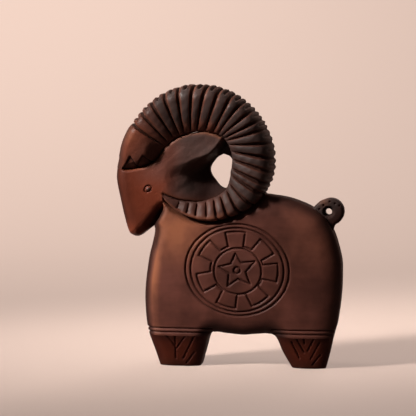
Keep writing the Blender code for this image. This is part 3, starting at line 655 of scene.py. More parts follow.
def carve(obj, depth):
    """Cuts each vertex in along its normal."""
    normals = np.empty(3 * len(obj.data.vertices), np.float32)
    obj.data.vertex_normals.foreach_get("vector", normals)
    moved = coordinates(obj) - normals.reshape(-1, 3) * depth[:, None]
    obj.data.vertices.foreach_set("co", moved.astype(np.float32).ravel())
    obj.data.update()


def close_seam(obj, seam, side):
    """Puts the seam's vertices back on the plane where the two horns meet."""
    points = coordinates(obj)
    points[seam, 1] = side * SEAM_HALF
    obj.data.vertices.foreach_set("co", points.astype(np.float32).ravel())
    obj.data.update()


def paint(obj, **masks):
    """Stores masks on the vertices, from 0 to 1: cut (stain pooled in cuts), rub (wear and painted
    highlights), shade (painted shade, partly a dark edge stain) and wax (a dark coat and painted grey sheen).
    A missing mask counts as 0.
    """
    for name, values in masks.items():
        layer = obj.data.attributes.new(name, "FLOAT", "POINT")
        values = np.broadcast_to(np.clip(values, 0, 1), len(layer.data))
        layer.data.foreach_set("value", values.astype(np.float32))


def lattice(low, high, grid):
    """Points of a triangular lattice over a rectangle."""
    rows = np.arange(low[1], high[1], grid * math.sqrt(0.75))
    columns = np.arange(low[0], high[0], grid)
    x, z = np.meshgrid(columns, rows)
    x = x + 0.5 * grid * (np.arange(len(rows)) % 2)[:, None]
    return np.stack([x.ravel(), z.ravel()], 1)


def slab_points(outline, holes, round_width, strokes, grids):
    """Points over an outline: rings along its edge, a lattice, and finer lattices near the strokes."""
    loop = np.asarray(outline)
    points = [loop] + [np.asarray(hole) for hole in holes]
    rings = []
    for angle in np.radians(EDGE_ANGLES):
        offset = (1 - math.cos(angle)) * round_width
        ring = inward_offset(outline, offset)
        room = distance_to_path(ring, outline, closed=True) > RING_ROOM * offset
        rings.append(ring[room & inside_outline(ring, outline)])
    coarse, medium, fine = grids
    zones = ((coarse, FAR_CUT, math.inf), (medium, NEAR_CUT, FAR_CUT), (fine, 0.0, NEAR_CUT))
    for grid, nearest, farthest in zones:
        spots = lattice(loop.min(0), loop.max(0), grid)
        gap = np.full(len(spots), FAR_CUT)
        for path, closed in strokes:
            gap = np.minimum(gap, distance_to_path(spots, path, closed, FAR_CUT))
        spots = spots[(gap >= nearest) & (gap < farthest)]
        spots = spots[inside_outline(spots, outline)]
        margin = round_width + 0.4 * grid if farthest > FAR_CUT else 0.6 * grid
        rings.append(spots[distance_to_path(spots, outline, closed=True) > margin])
    for hole in holes:
        rings = [ring[~inside_outline(ring, hole)] for ring in rings]
        rings = [ring[distance_to_path(ring, hole, closed=True) > HOLE_MARGIN] for ring in rings]
    return points + rings


def carved_slab(name, outline, half, round_width, strokes=(), holes=(), grids=BODY_GRIDS):
    """A slab whose two faces stand half(points) from the middle plane, finely meshed for carving.

    Walls join the faces along the outline and each hole. Where a hole crosses the outline, slits stay open.
    """
    outline = divided(outline, EDGE_STEP)
    holes = [divided(hole, EDGE_STEP) for hole in holes]
    groups = slab_points(outline, holes, round_width, strokes, grids)
    border = []
    start = 0
    for group in groups[:1 + len(holes)]:
        count = len(group)
        border += [(start + i, start + (i + 1) % count) for i in range(count)]
        start += count
    points = np.concatenate(groups)
    flat, _, faces, sources, _, _ = delaunay_2d_cdt([Vector(p) for p in points], border, [], 1, WELD_DISTANCE)
    flat = np.array([(p[0], p[1]) for p in flat])
    middles = np.array([flat[list(face)].mean(0) for face in faces])
    keep = np.ones(len(faces), bool)
    for hole in holes:
        keep &= ~inside_outline(middles, hole)
    place = {source: i for i, group in enumerate(sources) for source in group}
    height = half(flat)
    count = len(flat)
    front = np.stack([flat[:, 0], -height, flat[:, 1]], 1)
    back = np.stack([flat[:, 0], height, flat[:, 1]], 1)
    skin = []
    for face, kept in zip(faces, keep):
        if kept:
            skin.append(tuple(face))
            skin.append(tuple(count + i for i in reversed(face)))
    for a, b in border:
        a, b = place[a], place[b]
        skin.append((a, b, count + b, count + a))
    return new_object(name, np.concatenate([front, back]), skin)


def settle(obj, node, material):
    """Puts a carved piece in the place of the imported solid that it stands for."""
    obj.data.materials.append(material)
    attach(obj, "root")
    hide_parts(node)


# Shader groups and materials

FLOAT, COLOUR = "NodeSocketFloat", "NodeSocketColor"
# Sockets of a Mix node that mixes colours
MIX_FIRST, MIX_SECOND, MIX_RESULT = 6, 7, 2
STREAK_SHARE = 0.12
LEAST_RUB_AND_HIGHLIGHT = 0.20
LEAST_WAX_AND_SHEEN = 0.80
DARKEST_SHARE = 0.40
CUT_ROUGHNESS = 0.22
GRAIN_ROUGHNESS = 0.10
SHADE_ROUGHNESS = 0.35


def plug(tree, node, sources):
    """Gives each named input of a node a value, or the output of another node."""
    for key, source in sources.items():
        if isinstance(source, bpy.types.NodeSocket):
            tree.links.new(source, node.inputs[key])
        else:
            node.inputs[key].default_value = source


def add_node(tree, kind, place, sources=None, **settings):
    """A new node with its settings made and its inputs given."""
    node = tree.nodes.new(kind)
    node.location = place
    for key, value in settings.items():
        setattr(node, key, value)
    plug(tree, node, sources or {})
    return node


def math_value(tree, operation, place, *sources):
    """The result of a Math node on numbers or other nodes' values."""
    node = add_node(tree, "ShaderNodeMath", place, dict(enumerate(sources)), operation=operation)
    return node.outputs["Value"]


def remapped(tree, place, value, **limits):
    """A value mapped to the given limits, such as from_min or to_max."""
    named = {key.replace("_", " ").title(): limit for key, limit in limits.items()}
    return add_node(tree, "ShaderNodeMapRange", place, {"Value": value, **named}).outputs["Result"]


def scaled_colour(tree, place, tint, share):
    """A colour made darker or lighter by a share."""
    node = add_node(tree, "ShaderNodeVectorMath", place, {0: tint, "Scale": share}, operation="SCALE")
    return node.outputs["Vector"]


def mixed_colour(tree, place, share, first, second):
    """The colour a share of the way from a first colour to a second."""
    sources = {"Factor": share, MIX_FIRST: first, MIX_SECOND: second}
    return add_node(tree, "ShaderNodeMix", place, sources, data_type="RGBA").outputs[MIX_RESULT]


def new_group(name, inputs, outputs):
    """A shader node group with named sockets; inputs map a name to its type and default."""
    tree = bpy.data.node_groups.new(name, "ShaderNodeTree")
    for socket, (kind, default) in inputs.items():
        tree.interface.new_socket(socket, in_out="INPUT", socket_type=kind).default_value = default
    for socket, kind in outputs.items():
        tree.interface.new_socket(socket, in_out="OUTPUT", socket_type=kind)
    given = add_node(tree, "NodeGroupInput", (-900, 0)).outputs
    return tree, given, add_node(tree, "NodeGroupOutput", (900, 0))


def grain_group():
    """Long fine streaks along the figure, with soft mottling and a pore height."""
    tree, given, outputs = new_group(
        "wood_grain",
        {"Length": (FLOAT, 18.0), "Density": (FLOAT, 420.0), "Mottle": (FLOAT, 55.0)},
        {"Streak": FLOAT, "Mottle": FLOAT, "Height": FLOAT})
    place = add_node(tree, "ShaderNodeTexCoord", (-900, 250)).outputs["Object"]
    scale = add_node(tree, "ShaderNodeCombineXYZ", (-700, 100),
                     {"X": given["Length"], "Y": given["Density"], "Z": given["Density"]})
    stretch = add_node(tree, "ShaderNodeVectorMath", (-500, 200), {0: place, 1: scale.outputs["Vector"]},
                       operation="MULTIPLY")
    streak = add_node(tree, "ShaderNodeTexNoise", (-250, 250), {
        "Vector": stretch.outputs["Vector"], "Scale": 1.0, "Detail": 5.0, "Roughness": 0.62,
        "Distortion": 0.25})
    mottle = add_node(tree, "ShaderNodeTexNoise", (-250, -50), {
        "Vector": place, "Scale": given["Mottle"], "Detail": 3.0, "Roughness": 0.55})
    plug(tree, outputs, {
        "Streak": remapped(tree, (50, 250), streak.outputs["Fac"], from_min=0.32, from_max=0.68),
        "Mottle": remapped(tree, (50, -50), mottle.outputs["Fac"], from_min=0.35, from_max=0.65),
        "Height": streak.outputs["Fac"]})
    return tree


def stain_group(grain):
    """Stain that varies with the grain and pools in cuts, under dark wax that stands partly for painted grey
    sheen, with painted shade at rims and hollows, and wear and painted highlights in places.
    """
    tree, given, outputs = new_group(
        "carved_stain",
        {"Stain": (COLOUR, (0.1, 0.04, 0.03, 1)), "Wax and sheen": (COLOUR, (0.04, 0.03, 0.03, 1)),
         "Deep": (COLOUR, (0.03, 0.01, 0.01, 1)), "Rubbed and lit": (COLOUR, (0.2, 0.07, 0.04, 1)),
         "Streaking": (FLOAT, 0.25), "Roughness": (FLOAT, 0.42), "Dents": (FLOAT, 0.5)},
        {"Color": COLOUR, "Roughness": FLOAT, "Height": FLOAT})
    streaks = add_node(tree, "ShaderNodeGroup", (-900, 320), node_tree=grain).outputs
    cut, rub, shade, wax = [
        add_node(tree, "ShaderNodeAttribute", (-900, height), attribute_name=name).outputs["Fac"]
        for name, height in (("cut", -250), ("rub", -450), ("shade", -650), ("wax", -850))]
    softened = math_value(tree, "MULTIPLY", (-700, 480), streaks["Mottle"], 1 - STREAK_SHARE)
    mixed = math_value(tree, "MULTIPLY_ADD", (-700, 320), streaks["Streak"], STREAK_SHARE, softened)
    centred = math_value(tree, "SUBTRACT", (-520, 320), mixed, 0.5)
    level = math_value(tree, "MULTIPLY_ADD", (-340, 320), centred, given["Streaking"], 1.0)
    coverage = remapped(tree, (-700, -700), streaks["Mottle"], to_min=1.0, to_max=LEAST_WAX_AND_SHEEN)
    covered = math_value(tree, "MULTIPLY", (-520, -700), wax, coverage)
    waxed = mixed_colour(tree, (-340, 120), covered, given["Stain"], given["Wax and sheen"])
    stained = scaled_colour(tree, (-160, 200), waxed, level)
    wide = remapped(tree, (-700, -450), streaks["Mottle"], to_min=LEAST_RUB_AND_HIGHLIGHT, to_max=1.0)
    patchy = math_value(tree, "MULTIPLY", (-340, -350), rub, wide)
    rubbed = mixed_colour(tree, (60, 100), patchy, stained, given["Rubbed and lit"])
    pooled = mixed_colour(tree, (280, 0), cut, rubbed, given["Deep"])
    # Painted shade mixes the colour towards this darkened cut tone
    darkest = scaled_colour(tree, (280, -480), given["Deep"], DARKEST_SHARE)
    dull = math_value(tree, "MULTIPLY_ADD", (280, -250), cut, CUT_ROUGHNESS, given["Roughness"])
    uneven = math_value(tree, "MULTIPLY_ADD", (480, -250), centred, GRAIN_ROUGHNESS, dull)
    place = add_node(tree, "ShaderNodeTexCoord", (-160, -850)).outputs["Object"]
    pits = add_node(tree, "ShaderNodeTexNoise", (60, -850), {
        "Vector": place, "Scale": 420.0, "Detail": 4.0, "Roughness": 0.6})
    plug(tree, outputs, {
        "Color": mixed_colour(tree, (480, 0), shade, pooled, darkest),
        "Roughness": math_value(tree, "MULTIPLY_ADD", (680, -250), shade, SHADE_ROUGHNESS, uneven),
        "Height": math_value(tree, "MULTIPLY_ADD", (480, -750), pits.outputs["Fac"], given["Dents"],
                             streaks["Height"])})
    return tree


def wood_material(name, group, stain, wax, deep, rubbed, streaking, roughness, gloss, dents):
    """A satin wood finish from the stain group."""
    material = bpy.data.materials.new(name)
    material.use_nodes = True
    tree = material.node_tree
    finish = add_node(tree, "ShaderNodeGroup", (-500, 200), {
        "Stain": (*stain, 1), "Wax and sheen": (*wax, 1), "Deep": (*deep, 1), "Rubbed and lit": (*rubbed, 1),
        "Streaking": streaking, "Roughness": roughness, "Dents": dents}, node_tree=group).outputs
    bump = add_node(tree, "ShaderNodeBump", (-250, -150), {
        "Height": finish["Height"], "Strength": 0.30, "Distance": 0.0003})
    plug(tree, tree.nodes["Principled BSDF"], {
        "Base Color": finish["Color"], "Roughness": finish["Roughness"], "Normal": bump.outputs["Normal"],
        "Specular IOR Level": gloss})
    return material


def finish_materials():
    """Every wood finish by name, made once."""
    if "flank_stain" in bpy.data.materials:
        return bpy.data.materials
    colours = bpy.context.scene.figurine_colours
    group = stain_group(grain_group())
    # Stain, dark wax that also stands for painted grey sheen, and stain in cuts (in the horn grooves partly
    # painted shade); then how streaky, rough, glossy and dented each finish is
    finishes = {
        "flank_stain": (colours.flank, colours.wax, colours.cut, 0.75, 0.48, 0.10, 0.6),
        "face_stain": (colours.face, colours.ear, colours.cut, 0.35, 0.46, 0.08, 3.0),
        "hoof_stain": (colours.hoof, colours.wax, colours.cut, 0.30, 0.48, 0.06, 0.8),
        "horn_stain": (colours.horn, colours.wax, colours.groove, 0.45, 0.40, 0.13, 3.5),
        "eye_stain": (colours.horn, colours.wax, colours.cut, 0.15, 0.50, 0.30, 0.5),
        "dowel_wood": (colours.dowel, colours.wax, colours.cut, 0.35, 0.70, 0.30, 0.5),
    }
    for name, (stain, wax, deep, *finish) in finishes.items():
        wood_material(name, group, stain, wax, deep, colours.rubbed, *finish)
    return bpy.data.materials


# Settings

def size(name, description, default):
    """A property for a length."""
    return FloatProperty(name=name, description=description, default=default, unit="LENGTH", precision=5)


def power(name, description, default):
    """A property for the power of a lamp."""
    return FloatProperty(name=name, description=description, default=default, unit="POWER")


def colour(name, description, default):
    """A property for a colour."""
    return FloatVectorProperty(name=name, description=description, default=default, subtype="COLOR",
                               min=0, max=1)


class FigurineCarving(bpy.types.PropertyGroup):
    line_width: size("Line width", "Width of the engraved lines at the surface", 0.0017)
    line_depth: size("Line depth", "Depth of the engraved lines", 0.0010)
    vein_width: size("Vein width", "Width of the veins on the hooves", 0.0014)
    vein_depth: size("Vein depth", "Depth of the veins on the hooves", 0.0008)
    band_width: size("Band width", "Width of the grooves around the legs", 0.0016)
    band_depth: size("Band depth", "Depth of the grooves around the legs", 0.0008)
    eye_width: size("Eye line width", "Width of the line around each eye", 0.0011)
    eye_depth: size("Eye line depth", "Depth of the line around each eye", 0.0007)
    groove_width: size("Groove width", "Width of the horn grooves at the rim", 0.0022)
    groove_depth: size("Groove depth", "Depth of the horn grooves", 0.0024)
    rib_round: size("Rib rounding", "How far the sides of each rib fall away", 0.0009)
    nick_depth: size("Nick depth", "Depth of the nicks at the horn's rim", 0.0022)
    chip_depth: size("Chip depth", "Depth of the triangular cuts above the brow", 0.0009)
    dot_radius: size("Dot radius", "Radius of the punched dots on the tail", 0.0008)


class FigurineColours(bpy.types.PropertyGroup):
    flank: colour("Flank", "Stain of the body", (0.069, 0.0225, 0.0160))
    face: colour("Face", "Stain of face and ears", (0.116, 0.025, 0.012))
    hoof: colour("Hoof", "Stain of hooves and tail", (0.046, 0.0088, 0.0044))
    horn: colour("Horn", "Stain at root, rim and tip of the horns", (0.100, 0.027, 0.015))
    # The wax colour is dark wax and also painted grey sheen on ribs, tail and pupils
    wax: colour("Wax and sheen", "Dark wax on ribs and tail", (0.039, 0.027, 0.025))
    # The ears' wax colour is dark wax and also their painted grey sheen
    ear: colour("Ear", "Dark wax on the ears", (0.060, 0.039, 0.035))
    # The groove colour is darkened to stand partly for shade deep in the grooves
    groove: colour("Groove", "Red stain in the horn grooves", (0.022, 0.006, 0.003))
    # The cut colour also gives the darkest tone of painted shade
    cut: colour("Cut", "Stain that pools in cuts", (0.022, 0.005, 0.003))
    # The rubbed colour shows on worn edges and also paints highlights
    rubbed: colour("Rubbed and lit", "Warm wood that shows on rubbed edges", (0.222, 0.076, 0.036))
    dowel: colour("Dowel", "Bare wood of the dowels", (0.520, 0.360, 0.210))
    floor: colour("Floor", "Floor and backdrop as seen", (0.800, 0.610, 0.530))
    bounce: colour("Bounce", "Floor and backdrop as they light the figure", (0.100, 0.062, 0.045))


class FigurineStudio(bpy.types.PropertyGroup):
    key: power("Key", "Power of the soft key light", 0.60)
    key_spread: FloatProperty(name="Key spread", description="Opening of the key's grid", subtype="ANGLE",
                              default=math.radians(17))
    fill: power("Fill", "Power of the weak front fill", 0.12)
    back: power("Back", "Power of the soft light behind", 0.4)
    wall: power("Wall", "Power of the light on the backdrop", 16.5)
    lens: FloatProperty(name="Lens", description="Focal length of the camera", unit="CAMERA", default=135.0)


# Painted stain, wear, painted shade, painted highlights and painted grey sheen: the full share of paint on
# each named area

BODY_SHADE = {"chest": 0.85, "arch": 0.88, "rump": 0.76, "medallion": 0.28, "cleft": 0.92, "below horn": 0.70}
BODY_RUB_AND_HIGHLIGHT = {"chest": 0.82, "shoulder": 0.85, "haunch": 0.16}
HEAD_WAX_AND_SHEEN = {"ear": 1.0, "below brow": 0.55}
HEAD_SHADE = {"profile": 0.82, "face": 0.48, "cleft": 0.85, "hollow": 0.94}
LIP_RUB_AND_HIGHLIGHT = 0.50
HOOF_CUT, HOOF_RUB, HOOF_SHADE = 0.70, 0.25, 0.60
HORN_CUT = {"grooves": 0.90, "zigzag": 1.30}
HORN_RUB_AND_HIGHLIGHT = {"low band": 0.38, "shoulders": 0.30, "root": 0.55}
HORN_SHADE = {"rim": 0.60, "nicks": 0.55, "right": 0.80, "low right": 0.57, "curl": 0.37, "top left": 0.65,
              "inner edge": 0.50, "chips": 0.35, "zigzag": 0.90, "root": 0.62, "profile": 0.80, "brow": 0.45}
PUPIL_WAX_AND_SHEEN = 0.60
TAIL_CUT, TAIL_HIGHLIGHT = 1.80, 0.45
TAIL_SHADE = {"below": 0.80, "plain": 0.25}
# Least shares of shade on the narrow side walls, and the distances from the middle plane where they end
BODY_WALL, HOOF_WALL = 0.4, 0.5
WALL_END, FLANK_START = 0.0030, 0.0064


def painted(shares, areas):
    """The strongest paint at each point, from named areas with a full share each."""
    return np.max([shares[name] * area for name, area in areas.items()], 0)


def on_flanks(y, least):
    """Share of paint by distance from the middle plane: full on the flanks, least on the side walls."""
    return least + (1 - least) * smooth_step(WALL_END, FLANK_START, np.abs(y))


# Pieces

def body_masks(flat):
    """Where wear and painted highlights warm the body, and where painted shade darkens it."""
    x, z = flat.T
    chest, arch, rump = [distance_to_path(flat, path) for path in (CHEST_FRONT, ARCH_EDGE, RUMP_EDGE)]
    right, high = x - MEDALLION[0], z - MEDALLION[1]
    turn, gap = around_horn(flat)
    throat = 0.0014 * smooth_step(NOTCH[1] - 0.0140, NOTCH[1] - 0.0050, z)
    corner = np.min([np.abs(x - FRONT_LEG[1]), np.abs(x - REAR_LEG[0])], 0)
    arch_width = 0.0052 + 0.0030 * fade_out(0.0, 0.020, corner)
    horn_width = 0.0022 + 0.0014 * smooth_step(-80, -35, turn)
    below_horn = smooth_step(TIP_ANGLE, TIP_ANGLE + 12, turn) * (turn < 0)
    in_cleft = smooth_step(HORN_Z - 0.0230, HORN_Z - 0.0290, z)
    # Painted shade: dark rims at chest and rump, partly a dark edge stain; the jaw's shadow at the throat,
    # shade under the belly arch and in the cleft, and the horn's shadow below its curl; and a darker middle
    # of the medallion
    shade = painted(BODY_SHADE, {
        "chest": fade_out(0.0016, 0.0040, chest - throat),
        "arch": fade_out(0.35 * arch_width, 1.2 * arch_width, arch),
        "rump": fade_out(0.0008, 0.0060, rump),
        "medallion": fade_out(0.006, 0.015, np.hypot(right, high)),
        "cleft": fade_out(0.0012, 0.0030, distance_to_path(flat, VALLEY)) * in_cleft,
        "below horn": fade_out(0.2 * horn_width, horn_width, gap) * below_horn,
    })
    # Wear along the chest edge, partly a painted highlight; painted highlights on the shoulder and, against
    # the fall-off of the light, on the haunch
    upper_chest = 0.305 + 0.695 * smooth_step(0.024, 0.048, z)
    shoulder = np.hypot((x - CHEST_X - 0.018) / 0.021, (z - BACK_Z + 0.013) / 0.025)
    rub = painted(BODY_RUB_AND_HIGHLIGHT, {
        "chest": smooth_step(0.0026, 0.0042, chest) * fade_out(0.0050, 0.0095, chest) * upper_chest,
        "shoulder": fade_out(0.15, 1.25, shoulder),
        "haunch": smooth_step(0.012, 0.035, right) * smooth_step(-0.012, 0.012, high),
    })
    return {"rub": rub, "shade": shade}


class FIGURINE_OT_body(bpy.types.Operator):
    """Carve the body with its medallion and leg bands"""
    bl_idname = "figurine.body"
    bl_label = "Body"

    def execute(self, context):
        carving = context.scene.figurine_carving
        outline, _, _ = leg_and_body_outlines()
        medallion, bands = medallion_strokes(), band_strokes()
        body = carved_slab("carved_body", outline, flank_half, EDGE_ROUND, medallion + bands)
        x, y, z = coordinates(body).T
        flat = np.stack([x, z], 1)
        lines = stroke_depth(flat, medallion, carving.line_width, carving.line_depth)
        lines = np.maximum(lines, stroke_depth(flat, bands, carving.band_width, carving.band_depth))
        carve(body, lines + BODY_DENT * hand_waves(x, y, z))
        masks = body_masks(flat)
        masks["shade"] *= on_flanks(y, BODY_WALL)
        paint(body, cut=(lines / carving.line_depth) ** 2, **masks)
        settle(body, "body", finish_materials()["flank_stain"])
        return {"FINISHED"}


class FIGURINE_OT_hooves(bpy.types.Operator):
    """Carve the two hooves with their veins"""
    bl_idname = "figurine.hooves"
    bl_label = "Hooves"

    def execute(self, context):
        carving = context.scene.figurine_carving
        _, *outlines = leg_and_body_outlines()
        strokes = hoof_strokes()
        for word, outline in zip(("front", "rear"), outlines):
            hoof = carved_slab(f"carved_{word}_hoof", outline, flank_half, EDGE_ROUND, strokes)
            x, y, z = coordinates(hoof).T
            flat = np.stack([x, z], 1)
            lines = stroke_depth(flat, strokes, carving.vein_width, carving.vein_depth)
            lines *= np.abs(y) > VEIN_LEAST_HALF
            carve(hoof, lines)
            # Painted shade, partly a dark edge stain, along each hoof's rim; the hooves are lighter towards
            # the bottom
            rim = fade_out(0.0005, 0.0055, distance_to_path(flat, outline, closed=True))
            paint(hoof, cut=HOOF_CUT * lines / carving.vein_depth, rub=HOOF_RUB * fade_out(0.0, 0.004, z),
                  shade=HOOF_SHADE * rim * on_flanks(y, HOOF_WALL))
            settle(hoof, f"{word}_hoof", finish_materials()["hoof_stain"])
        return {"FINISHED"}


def head_masks(flat):
    """Where dark wax that stands partly for painted grey sheen covers the head, and where painted shade
    darkens it.
    """
    across, up = (flat - HORN_CENTRE).T
    profile = distance_to_path(flat, PROFILE)
    below_fold = fold_height(flat[:, 0]) - flat[:, 1]
    # Painted shade in the hollow below the ear's fold, darkest towards the pierced hole and fading near the
    # top
    hollow = smooth_step(-0.001, 0.005, below_fold) * smooth_step(-0.0195, -0.009, across)
    hollow *= 0.298 + 0.702 * smooth_step(-0.009, 0.004, across)
    hollow *= 1 - 0.7 * smooth_step(-0.001, 0.005, up)
    # Dark wax on the ear and a wash below the brow; both stand partly for painted grey sheen
    wax = painted(HEAD_WAX_AND_SHEEN, {
        "ear": smooth_step(-0.0215, -0.0050, across) * smooth_step(-0.026, -0.016, up),
        "below brow": smooth_step(-0.038, -0.018, across) * smooth_step(-0.018, -0.006, up),
    })
    # Painted shade: a dark rim along the profile, partly a dark edge stain, and a wider darkening near it,
    # both fading out at the muzzle's tip; the cleft below the jaw; and the hollow
    shade = painted(HEAD_SHADE, {
        "profile": fade_out(0.0010, 0.0055, profile) * smooth_step(-0.040, -0.031, up),
        "face": fade_out(0.0030, 0.0105, profile) * smooth_step(-0.039, -0.030, up),
        "cleft": fade_out(0.0008, 0.0038, distance_to_path(flat, VALLEY)) * smooth_step(-0.0225, -0.0285, up),
        "hollow": hollow,
    })
    return {"wax": wax, "shade": shade}


class FIGURINE_OT_head(bpy.types.Operator):
    """Carve the face, the ears and the pierced hollow"""
    bl_idname = "figurine.head"
    bl_label = "Head"

    def execute(self, context):
        carving = context.scene.figurine_carving
        eye = [(oval(EYE_SPOT, EYE_WIDE, EYE_HIGH, 40, EYE_TILT), True)]
        head = carved_slab("carved_head", HEAD_EDGE, head_half, FACE_ROUND, eye, [EAR_HOLE], HEAD_GRIDS)
        x, y, z = coordinates(head).T
        flat = np.stack([x, z], 1)
        masks = head_masks(flat)
        lines = stroke_depth(flat, eye, carving.eye_width, carving.eye_depth)
        dents = EAR_DENT * hand_waves(0.8 * x, y, 1.2 * z) + EAR_FINE_DENT * hand_waves(2 * x, y, 3 * z)
        carve(head, lines + dents * masks["wax"] + FACE_DENT * hand_waves(x, y, z))
        # A painted highlight, partly wear, along the lip below the horn
        lip = brow_share(x) * fade_out(0.0006, 0.0022, distance_to_path(flat, HORN_BORDER))
        paint(head, cut=lines / carving.eye_depth, rub=LIP_RUB_AND_HIGHLIGHT * lip, **masks)
        settle(head, "head", finish_materials()["face_stain"])
        return {"FINISHED"}


def horn_surface():
    """Station angles, shares across and points (x, height, z) of a smooth horn, root to tip."""
    stations = np.linspace(ROOT_ANGLE, TIP_ANGLE, HORN_STATIONS)
    inner, rim = inner_edge(stations), polar(stations, rim_radius(stations))
    to_tip = smooth_step(-35, TIP_ANGLE, stations)
    crest = HORN_HALF + (HORN_TIP_HALF - HORN_HALF) * to_tip
    foot = HORN_INNER_HALF + (HORN_TIP_INNER_HALF - HORN_INNER_HALF) * to_tip
    rise = np.linspace(0, 1, RISE_STEPS)
    swell = np.sin(0.5 * math.pi * rise) ** SECTION_POWER
    fall = np.radians(np.linspace(0, 90, FALL_STEPS)[1:])
    top = (HORN_CREST + (TIP_CREST - HORN_CREST) * smooth_step(-40, -80, stations))[:, None]
    beyond = top + (1 - top) * np.sin(fall) ** SECTION_POWER
    shares = np.concatenate([0 * top, 0 * top, top * rise, beyond], 1)
    flat = inner[:, None] + (rim - inner)[:, None] * shares[..., None]
    heights = foot[:, None] + (crest - foot)[:, None] * swell
    heights = np.concatenate([0 * top, 0 * top, heights, crest[:, None] * np.cos(fall) ** SECTION_POWER], 1)
    root = smooth_step(BROW_ANGLE - 5, BROW_ANGLE + 10, stations)[:, None]
    full = FACE_HALF + (HORN_HALF - FACE_HALF) * smooth_step(ROOT_ANGLE, BROW_ANGLE, stations)
    full = np.broadcast_to(full[:, None], shares.shape)
    root_heights = root_half(flat.reshape(-1, 2), full.ravel()).reshape(shares.shape)
    heights = heights + (root_heights - heights) * root
    heights[:, [0, -1]] = SEAM_HALF
    heights[:, 1] = 0.5 * heights[:, 2]
    return stations, shares, flat, heights


def ribbed_share(degrees):
    """0 on the smooth root of a horn and 1 along its ribs."""
    return smooth_step(BROW_ANGLE + 4, BROW_ANGLE - 12, degrees)


def rib_cuts(stations, shares, flat, carving):
    """Depth of grooves, rounded ribs and nicks, and masks of the grooves' shoulders and of the nicks."""
    rng = np.random.default_rng(GROOVE_SEED)
    degrees = stations[:, None]
    radius = np.hypot(flat[..., 0] - HORN_X, flat[..., 1] - HORN_Z)
    lower = fade_out(-85, -55, degrees)
    wide = 0.5 * carving.groove_width * (0.42 + 0.58 * smooth_step(0.0, 0.9, shares))
    wide = wide * (1 - 0.40 * lower + 0.35 * bell(-10, 45, degrees))
    at_rim = 0.6 * smooth_step(0.86, 1.0, shares) * smooth_step(70, 35, degrees)
    fade = smooth_step(-0.02, 0.16, shares) * (1 - at_rim) * (1 - lower * smooth_step(0.62, 0.80, shares))
    nick_fade = smooth_step(0.86, 0.97, shares) * (0.4 + 0.6 * smooth_step(35, 70, degrees))
    nick_fade = nick_fade * smooth_step(-40, -20, degrees)
    upper = smooth_step(30, 75, degrees) * smooth_step(0.25, 0.80, shares)
    grooves, shoulder, pillow, nicks = np.zeros((4, *shares.shape))
    for middle, after in zip(GROOVES, GROOVES[1:] + (TIP_ANGLE,)):
        offset = degrees - middle - rng.uniform(-0.8, 0.8) * np.sin(math.pi * shares)
        gap = np.radians(np.abs(offset)) * radius
        groove = rng.uniform(0.85, 1.1) * np.clip(1.15 - 1.15 * gap / wide, 0, 1) ** 0.85
        # Shoulders reach further on the side of each groove that faces the light, to carry wear and a painted
        # highlight there
        reach = wide + 0.0005 + 0.0009 * upper * (offset < 0)
        half_rib = np.radians(0.5 * (middle - after)) * radius
        nick = np.radians(np.abs(degrees - 0.5 * (middle + after))) * radius
        notch = np.clip(1 - nick / rng.uniform(0.0011, 0.0016), 0, 1)
        grooves = np.maximum(grooves, fade * groove)
        shoulder = np.maximum(shoulder, fade * fade_out(0.8 * wide, reach, gap))
        pillow = np.maximum(pillow, fade * np.clip(1 - gap / half_rib, 0, 1) ** 2)
        nicks = np.maximum(nicks, nick_fade * notch)
    depths = [carving.groove_depth * grooves, carving.rib_round * pillow, carving.nick_depth * nicks]
    return np.max(depths, 0), shoulder, nicks


def brow_cuts(flat, carving):
    """Depth of the two triangular chips above the brow, and of the zigzag line along them."""
    spots = flat.reshape(-1, 2)
    first, second = [chip_depth(spots, corners, carving.chip_depth) for corners in (ZIGZAG[:3], ZIGZAG[2:])]
    line = stroke_depth(spots, [(ZIGZAG, False)], carving.line_width, carving.line_depth)
    return np.maximum(first, second).reshape(flat.shape[:2]), line.reshape(flat.shape[:2])


